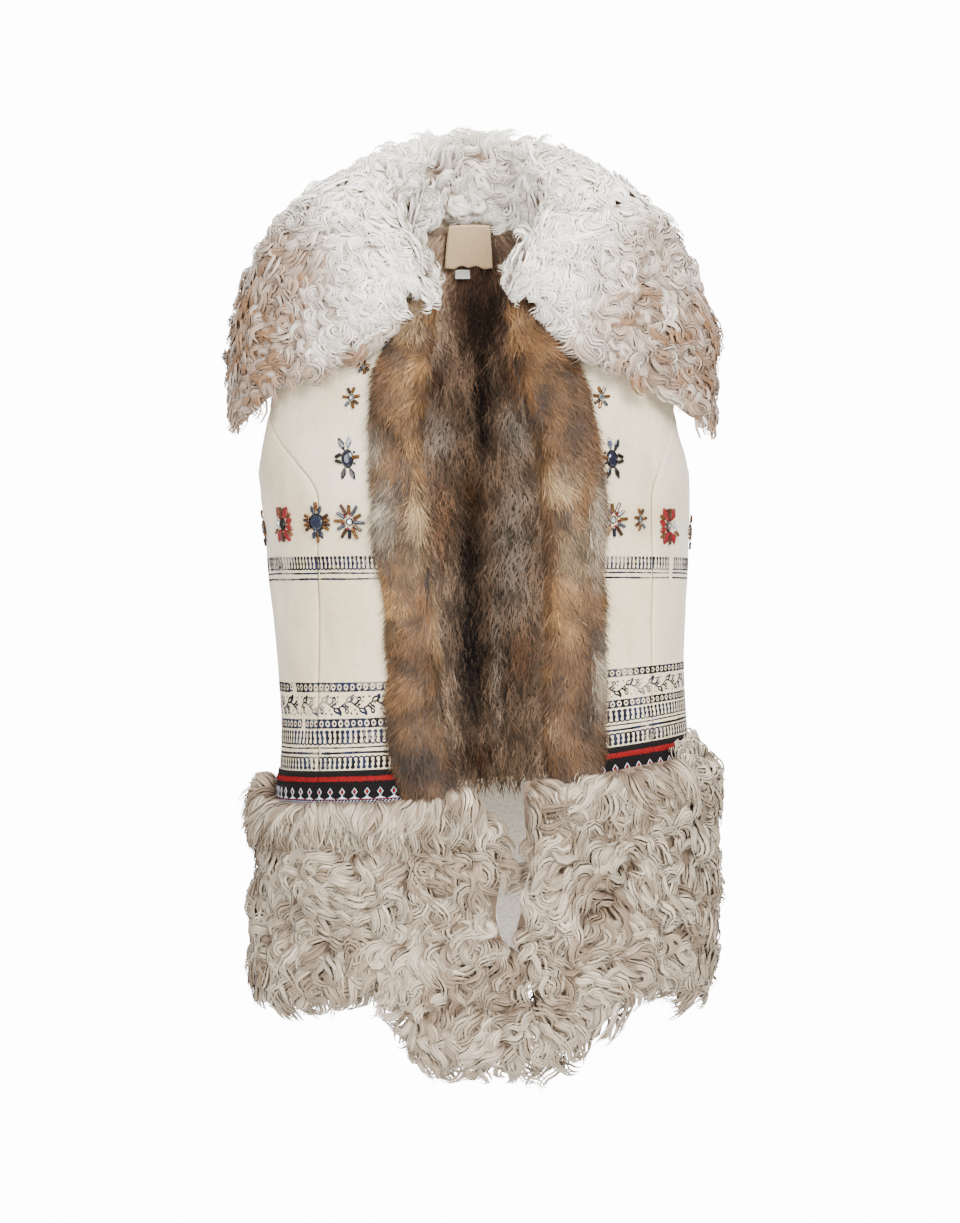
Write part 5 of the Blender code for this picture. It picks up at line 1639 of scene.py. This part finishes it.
# Motifs, in millimetres from the centre: bead kind, across, up, turn clockwise in degrees,
# length, width, thickness, colour
MOTIFS = {
    "small": (
        ("stone", 0, 0, 0, 4.0, 4.0, 2.4, "crystal"), ("setting", 0, 0, 0, 5.6, 5.6, 3.6, "dark"),
        ("bugle", 1.8, 5.4, 20, 5.0, 2.3, 2.0, "gold"), ("bugle", -2.2, 5.0, -25, 4.8, 2.3, 2.0, "brown"),
        ("bugle", 5.2, 1.0, 82, 4.8, 2.3, 2.0, "gold"), ("bugle", -5.2, 0.6, 96, 4.6, 2.3, 2.0, "gold"),
        ("bugle", 1.4, -5.6, -12, 5.4, 2.3, 2.0, "gold"), ("bugle", -3.5, -4.4, 38, 4.8, 2.3, 2.0, "grey"),
        ("bugle", 4.6, -3.5, -55, 4.4, 2.3, 2.0, "brown")),
    "drop": (
        ("stone", 1.0, 0, 4, 12.5, 9.6, 5.0, "navy"), ("setting", 1.0, 0, 4, 13.4, 10.4, 5.6, "dark"),
        ("navette", -3.8, 11.0, -22, 11.5, 5.4, 3.6, "smoke"),
        ("navette", 2.8, 12.0, 8, 11.0, 4.8, 3.4, "crystal"), ("bugle", 8.6, 1.2, 84, 6.4, 2.6, 2.4, "gold"),
        ("bugle", -7.0, 2.4, 66, 5.6, 2.6, 2.4, "dark"), ("bugle", -7.0, -2.0, 108, 5.6, 2.6, 2.4, "dark"),
        ("navette", -3.6, -10.8, 20, 10.8, 4.8, 3.4, "dark"),
        ("navette", 4.4, -11.0, -20, 10.8, 5.0, 3.4, "smoke"),
        ("seed", 7.4, 4.8, 0, 2.4, 2.4, 2.4, "navy"), ("seed", 7.2, -3.6, 0, 2.4, 2.4, 2.4, "navy")),
    "round": (
        ("stone", 0, 0, 0, 14.0, 14.6, 6.0, "slate"), ("setting", 0, 0, 0, 15.0, 15.6, 6.4, "dark"),
        ("bugle", 0, 14.8, 0, 8.4, 2.6, 2.4, "gold"), ("bugle", 0, -14.8, 0, 8.4, 2.6, 2.4, "gold"),
        ("navette", 3.8, 11.2, 24, 9.4, 5.2, 3.2, "steel"),
        ("navette", -3.8, 11.2, -24, 9.4, 5.2, 3.2, "steel"),
        ("navette", 3.8, -11.2, -24, 9.4, 5.2, 3.2, "steel"),
        ("navette", -3.8, -11.2, 24, 9.4, 5.2, 3.2, "steel"),
        ("bugle", 10.4, 5.4, 62, 6.8, 2.5, 2.4, "brown"), ("bugle", 11.2, 1.8, 80, 7.0, 2.5, 2.4, "gold"),
        ("bugle", 11.2, -2.0, 100, 7.0, 2.5, 2.4, "brown"),
        ("bugle", 10.2, -5.6, 120, 6.6, 2.5, 2.4, "gold"),
        ("bugle", -10.4, 5.4, -62, 6.8, 2.5, 2.4, "gold"),
        ("bugle", -11.2, 1.8, -80, 7.0, 2.5, 2.4, "brown"),
        ("bugle", -11.2, -2.0, -100, 7.0, 2.5, 2.4, "gold"),
        ("bugle", -10.2, -5.6, -120, 6.6, 2.5, 2.4, "brown")),
    "flower": (
        ("stone", 0, 0, 0, 9.4, 7.4, 4.8, "dark"), ("setting", 0, 0, 0, 10.2, 8.2, 5.4, "dark"),
        ("navette", -7.4, 0.4, 4, 9.4, 4.8, 3.6, "clear"),
        ("navette", 4.8, 9.6, 28, 12.6, 8.8, 3.4, "red"), ("navette", -4.8, 9.6, -28, 12.6, 8.8, 3.4, "red"),
        ("navette", 5.0, -9.4, -30, 12.6, 8.8, 3.4, "red"),
        ("navette", -5.0, -9.4, 28, 12.6, 8.8, 3.4, "red"),
        ("navette", 8.6, 2.6, 66, 8.6, 6.8, 3.0, "red"), ("navette", 8.4, -3.0, 112, 8.4, 6.6, 3.0, "red"),
        ("bugle", -0.8, 10.6, -4, 8.4, 2.8, 2.6, "gold"), ("bugle", 1.6, 10.8, 9, 7.6, 2.4, 2.4, "brown"),
        ("bugle", 0.2, -10.8, 0, 8.4, 2.8, 2.6, "brown"), ("bugle", 9.8, -7.4, 128, 6.0, 2.4, 2.4, "gold"),
        ("bugle", 9.8, 7.2, 52, 5.6, 2.4, 2.4, "gold"), ("bugle", -9.2, -5.6, 52, 5.6, 2.4, 2.4, "gold")),
}
BURST_COLOURS = ("gold", "grey", "gold", "steel", "brown", "gold", "navy", "brown", "grey", "gold", "steel",
                 "brown")


def burst():
    """Twelve bars round a clear stone, with red beads between."""
    rows = [("stone", 0, 0, 0, 4.6, 4.6, 3.4, "clear"), ("setting", 0, 0, 0, 6.2, 6.2, 4.4, "dark")]
    for k in range(12):
        angle = 30.0 * k + 4.0
        across, up = math.sin(math.radians(angle)), math.cos(math.radians(angle))
        length = 8.0 + 1.6 * (k % 2)
        middle = 12.6 + 1.8 * (k % 2) + 1.2 * abs(up) - length / 2
        rows.append(("bugle", middle * across, middle * up, angle, length, 2.5, 2.4, BURST_COLOURS[k]))
    for k in range(6):
        angle = math.radians(60.0 * k + 19.0)
        rows.append(("seed", 6.2 * math.sin(angle), 6.2 * math.cos(angle), 0, 4.0, 4.0, 3.2, "red"))
    return tuple(rows)


# Star, motif, x, height, scale across, scale up, mirrored
STARS = (
    ("star_right_1", "small", -0.1050, -0.159, 0.85, 0.85, 1),
    ("star_right_2", "small", -0.1160, -0.187, 1.05, 1.25, 1),
    ("star_right_3", "drop", -0.1205, -0.242, 1.05, 1.22, 1),
    ("star_right_4", "burst", -0.1180, -0.299, 0.98, 1.15, 1),
    ("star_right_5", "round", -0.1480, -0.299, 0.98, 0.98, 1),
    ("star_right_6", "flower", -0.1800, -0.300, 1.05, 1.08, 1),
    ("star_right_7", "round", -0.2010, -0.302, 0.85, 0.90, 1),
    ("star_left_1", "small", 0.0880, -0.147, 0.85, 0.85, -1),
    ("star_left_2", "small", 0.1100, -0.186, 1.05, 1.25, -1),
    ("star_left_3", "drop", 0.1200, -0.242, 1.05, 1.15, -1),
    ("star_left_4", "burst", 0.1200, -0.297, 0.98, 1.12, -1),
    ("star_left_5", "small", 0.1455, -0.296, 0.90, 1.35, -1),
    ("star_left_6", "flower", 0.1735, -0.302, 1.08, 1.12, -1),
    ("star_left_7", "round", 0.1950, -0.306, 0.82, 0.86, -1),
)
STONE_OVERRIDE = {"star_left_6": "agate", "star_right_7": "red", "star_left_7": "red"}


def make_stars():
    shapes = {kind: bead_shape(kind) for kind in ("bugle", "seed", "setting", "stone", "navette")}
    motifs = dict(MOTIFS, burst=burst())
    for name, motif, x, height, wide, tall, mirrored in STARS:
        turn = float(turn_at(np.array(x), np.array(height)))
        per_metre = float(degrees_for(1.0, np.array(turn), np.array(height)))
        points, faces, looks, colours, start = [], [], [], [], 0
        for kind, across, up, angle, length, width, thick, colour in motifs[motif]:
            if kind == "stone" and name in STONE_OVERRIDE:
                colour = STONE_OVERRIDE[name]
            shape, corners = shapes[kind]
            a = math.radians(angle) * mirrored
            stout = 1.30 if kind == "bugle" else 1.0
            local = shape * np.array((width * stout, length * 0.5 * (wide + tall), thick)) * 0.001
            x_off = local[:, 0] * math.cos(a) + local[:, 1] * math.sin(a) + across * wide * mirrored * 0.001
            z_off = -local[:, 0] * math.sin(a) + local[:, 1] * math.cos(a) + up * tall * 0.001
            points.append(cloth_point(turn + per_metre * x_off, height + z_off, local[:, 2] + 0.0004))
            faces.append(corners + start)
            start += len(shape)
            if colour not in colours:
                colours.append(colour)
            looks.append(np.full(len(corners), colours.index(colour)))
        obj = mesh_piece(name + "_beads", np.vstack(points), np.vstack(faces), smooth=False)
        for colour in colours:
            obj.data.materials.append(BEADS[colour])
        obj.data.polygons.foreach_set("material_index", np.concatenate(looks).astype(np.int32))
        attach(obj, "root")
        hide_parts(name)


make_hem()
make_collar()
make_facings()
make_linings()
make_panels()
make_prints()
make_trim()
make_label()
make_stars()


# Stage, light and camera

LIT_MIDDLE = (0.0, 0.0, -0.38)
ROOM_LIGHT = (0.80, 0.80, 0.81)
WHITE_BACKDROP = (14.0, 14.0, 14.0)


def make_stage():
    bpy.ops.object.select_all(action="DESELECT")
    bpy.ops.mesh.primitive_circle_add(vertices=96, radius=1.3, fill_type="NGON", location=(0.0, 0.0, -1.22))
    floor = bpy.context.active_object
    floor.name = "floor"
    floor.data.transform(floor.matrix_world)
    floor.matrix_world.identity()
    material, _, _, surface = new_material("pale floor")
    set_inputs(surface, {"Base Color": (0.86, 0.86, 0.85, 1.0), "Roughness": 0.85})
    floor.data.materials.append(material)


def add_area_light(name, place, size, power):
    data = bpy.data.lights.new(name, "AREA")
    data.shape = "RECTANGLE"
    data.size, data.size_y = size
    data.energy = power
    light = bpy.data.objects.new(name, data)
    light.location = place
    light.rotation_euler = (Vector(LIT_MIDDLE) - Vector(place)).to_track_quat("-Z", "Y").to_euler()
    bpy.context.scene.collection.objects.link(light)


def make_lights():
    add_area_light("key", (1.0, -2.2, 0.80), (1.0, 1.0), 125.0)
    add_area_light("fill", (-1.2, -2.3, 0.1), (1.2, 1.6), 60.0)
    add_area_light("top", (0.0, -0.3, 1.5), (1.4, 1.0), 46.0)
    add_area_light("rim", (0.3, 1.9, 0.6), (1.6, 1.2), 60.0)
    world = bpy.data.worlds.new("studio")
    bpy.context.scene.world = world
    world.use_nodes = True
    nodes, links = world.node_tree.nodes, world.node_tree.links
    seen = nodes.new("ShaderNodeLightPath").outputs["Is Camera Ray"]
    level = blend_colours(nodes, links, seen, ROOM_LIGHT, WHITE_BACKDROP)
    links.new(level, nodes["Background"].inputs["Color"])


def make_camera():
    data = bpy.data.cameras.new("camera")
    data.lens = LENS_MM
    data.sensor_width = 36.0
    data.clip_start, data.clip_end = 0.1, 20.0
    camera = bpy.data.objects.new("camera", data)
    camera.location = (0.0, -CAMERA_DISTANCE, CAMERA_LEVEL)
    camera.rotation_euler = (math.radians(90.0), 0.0, 0.0)
    bpy.context.scene.collection.objects.link(camera)
    bpy.context.scene.camera = camera


make_stage()
make_lights()
make_camera()
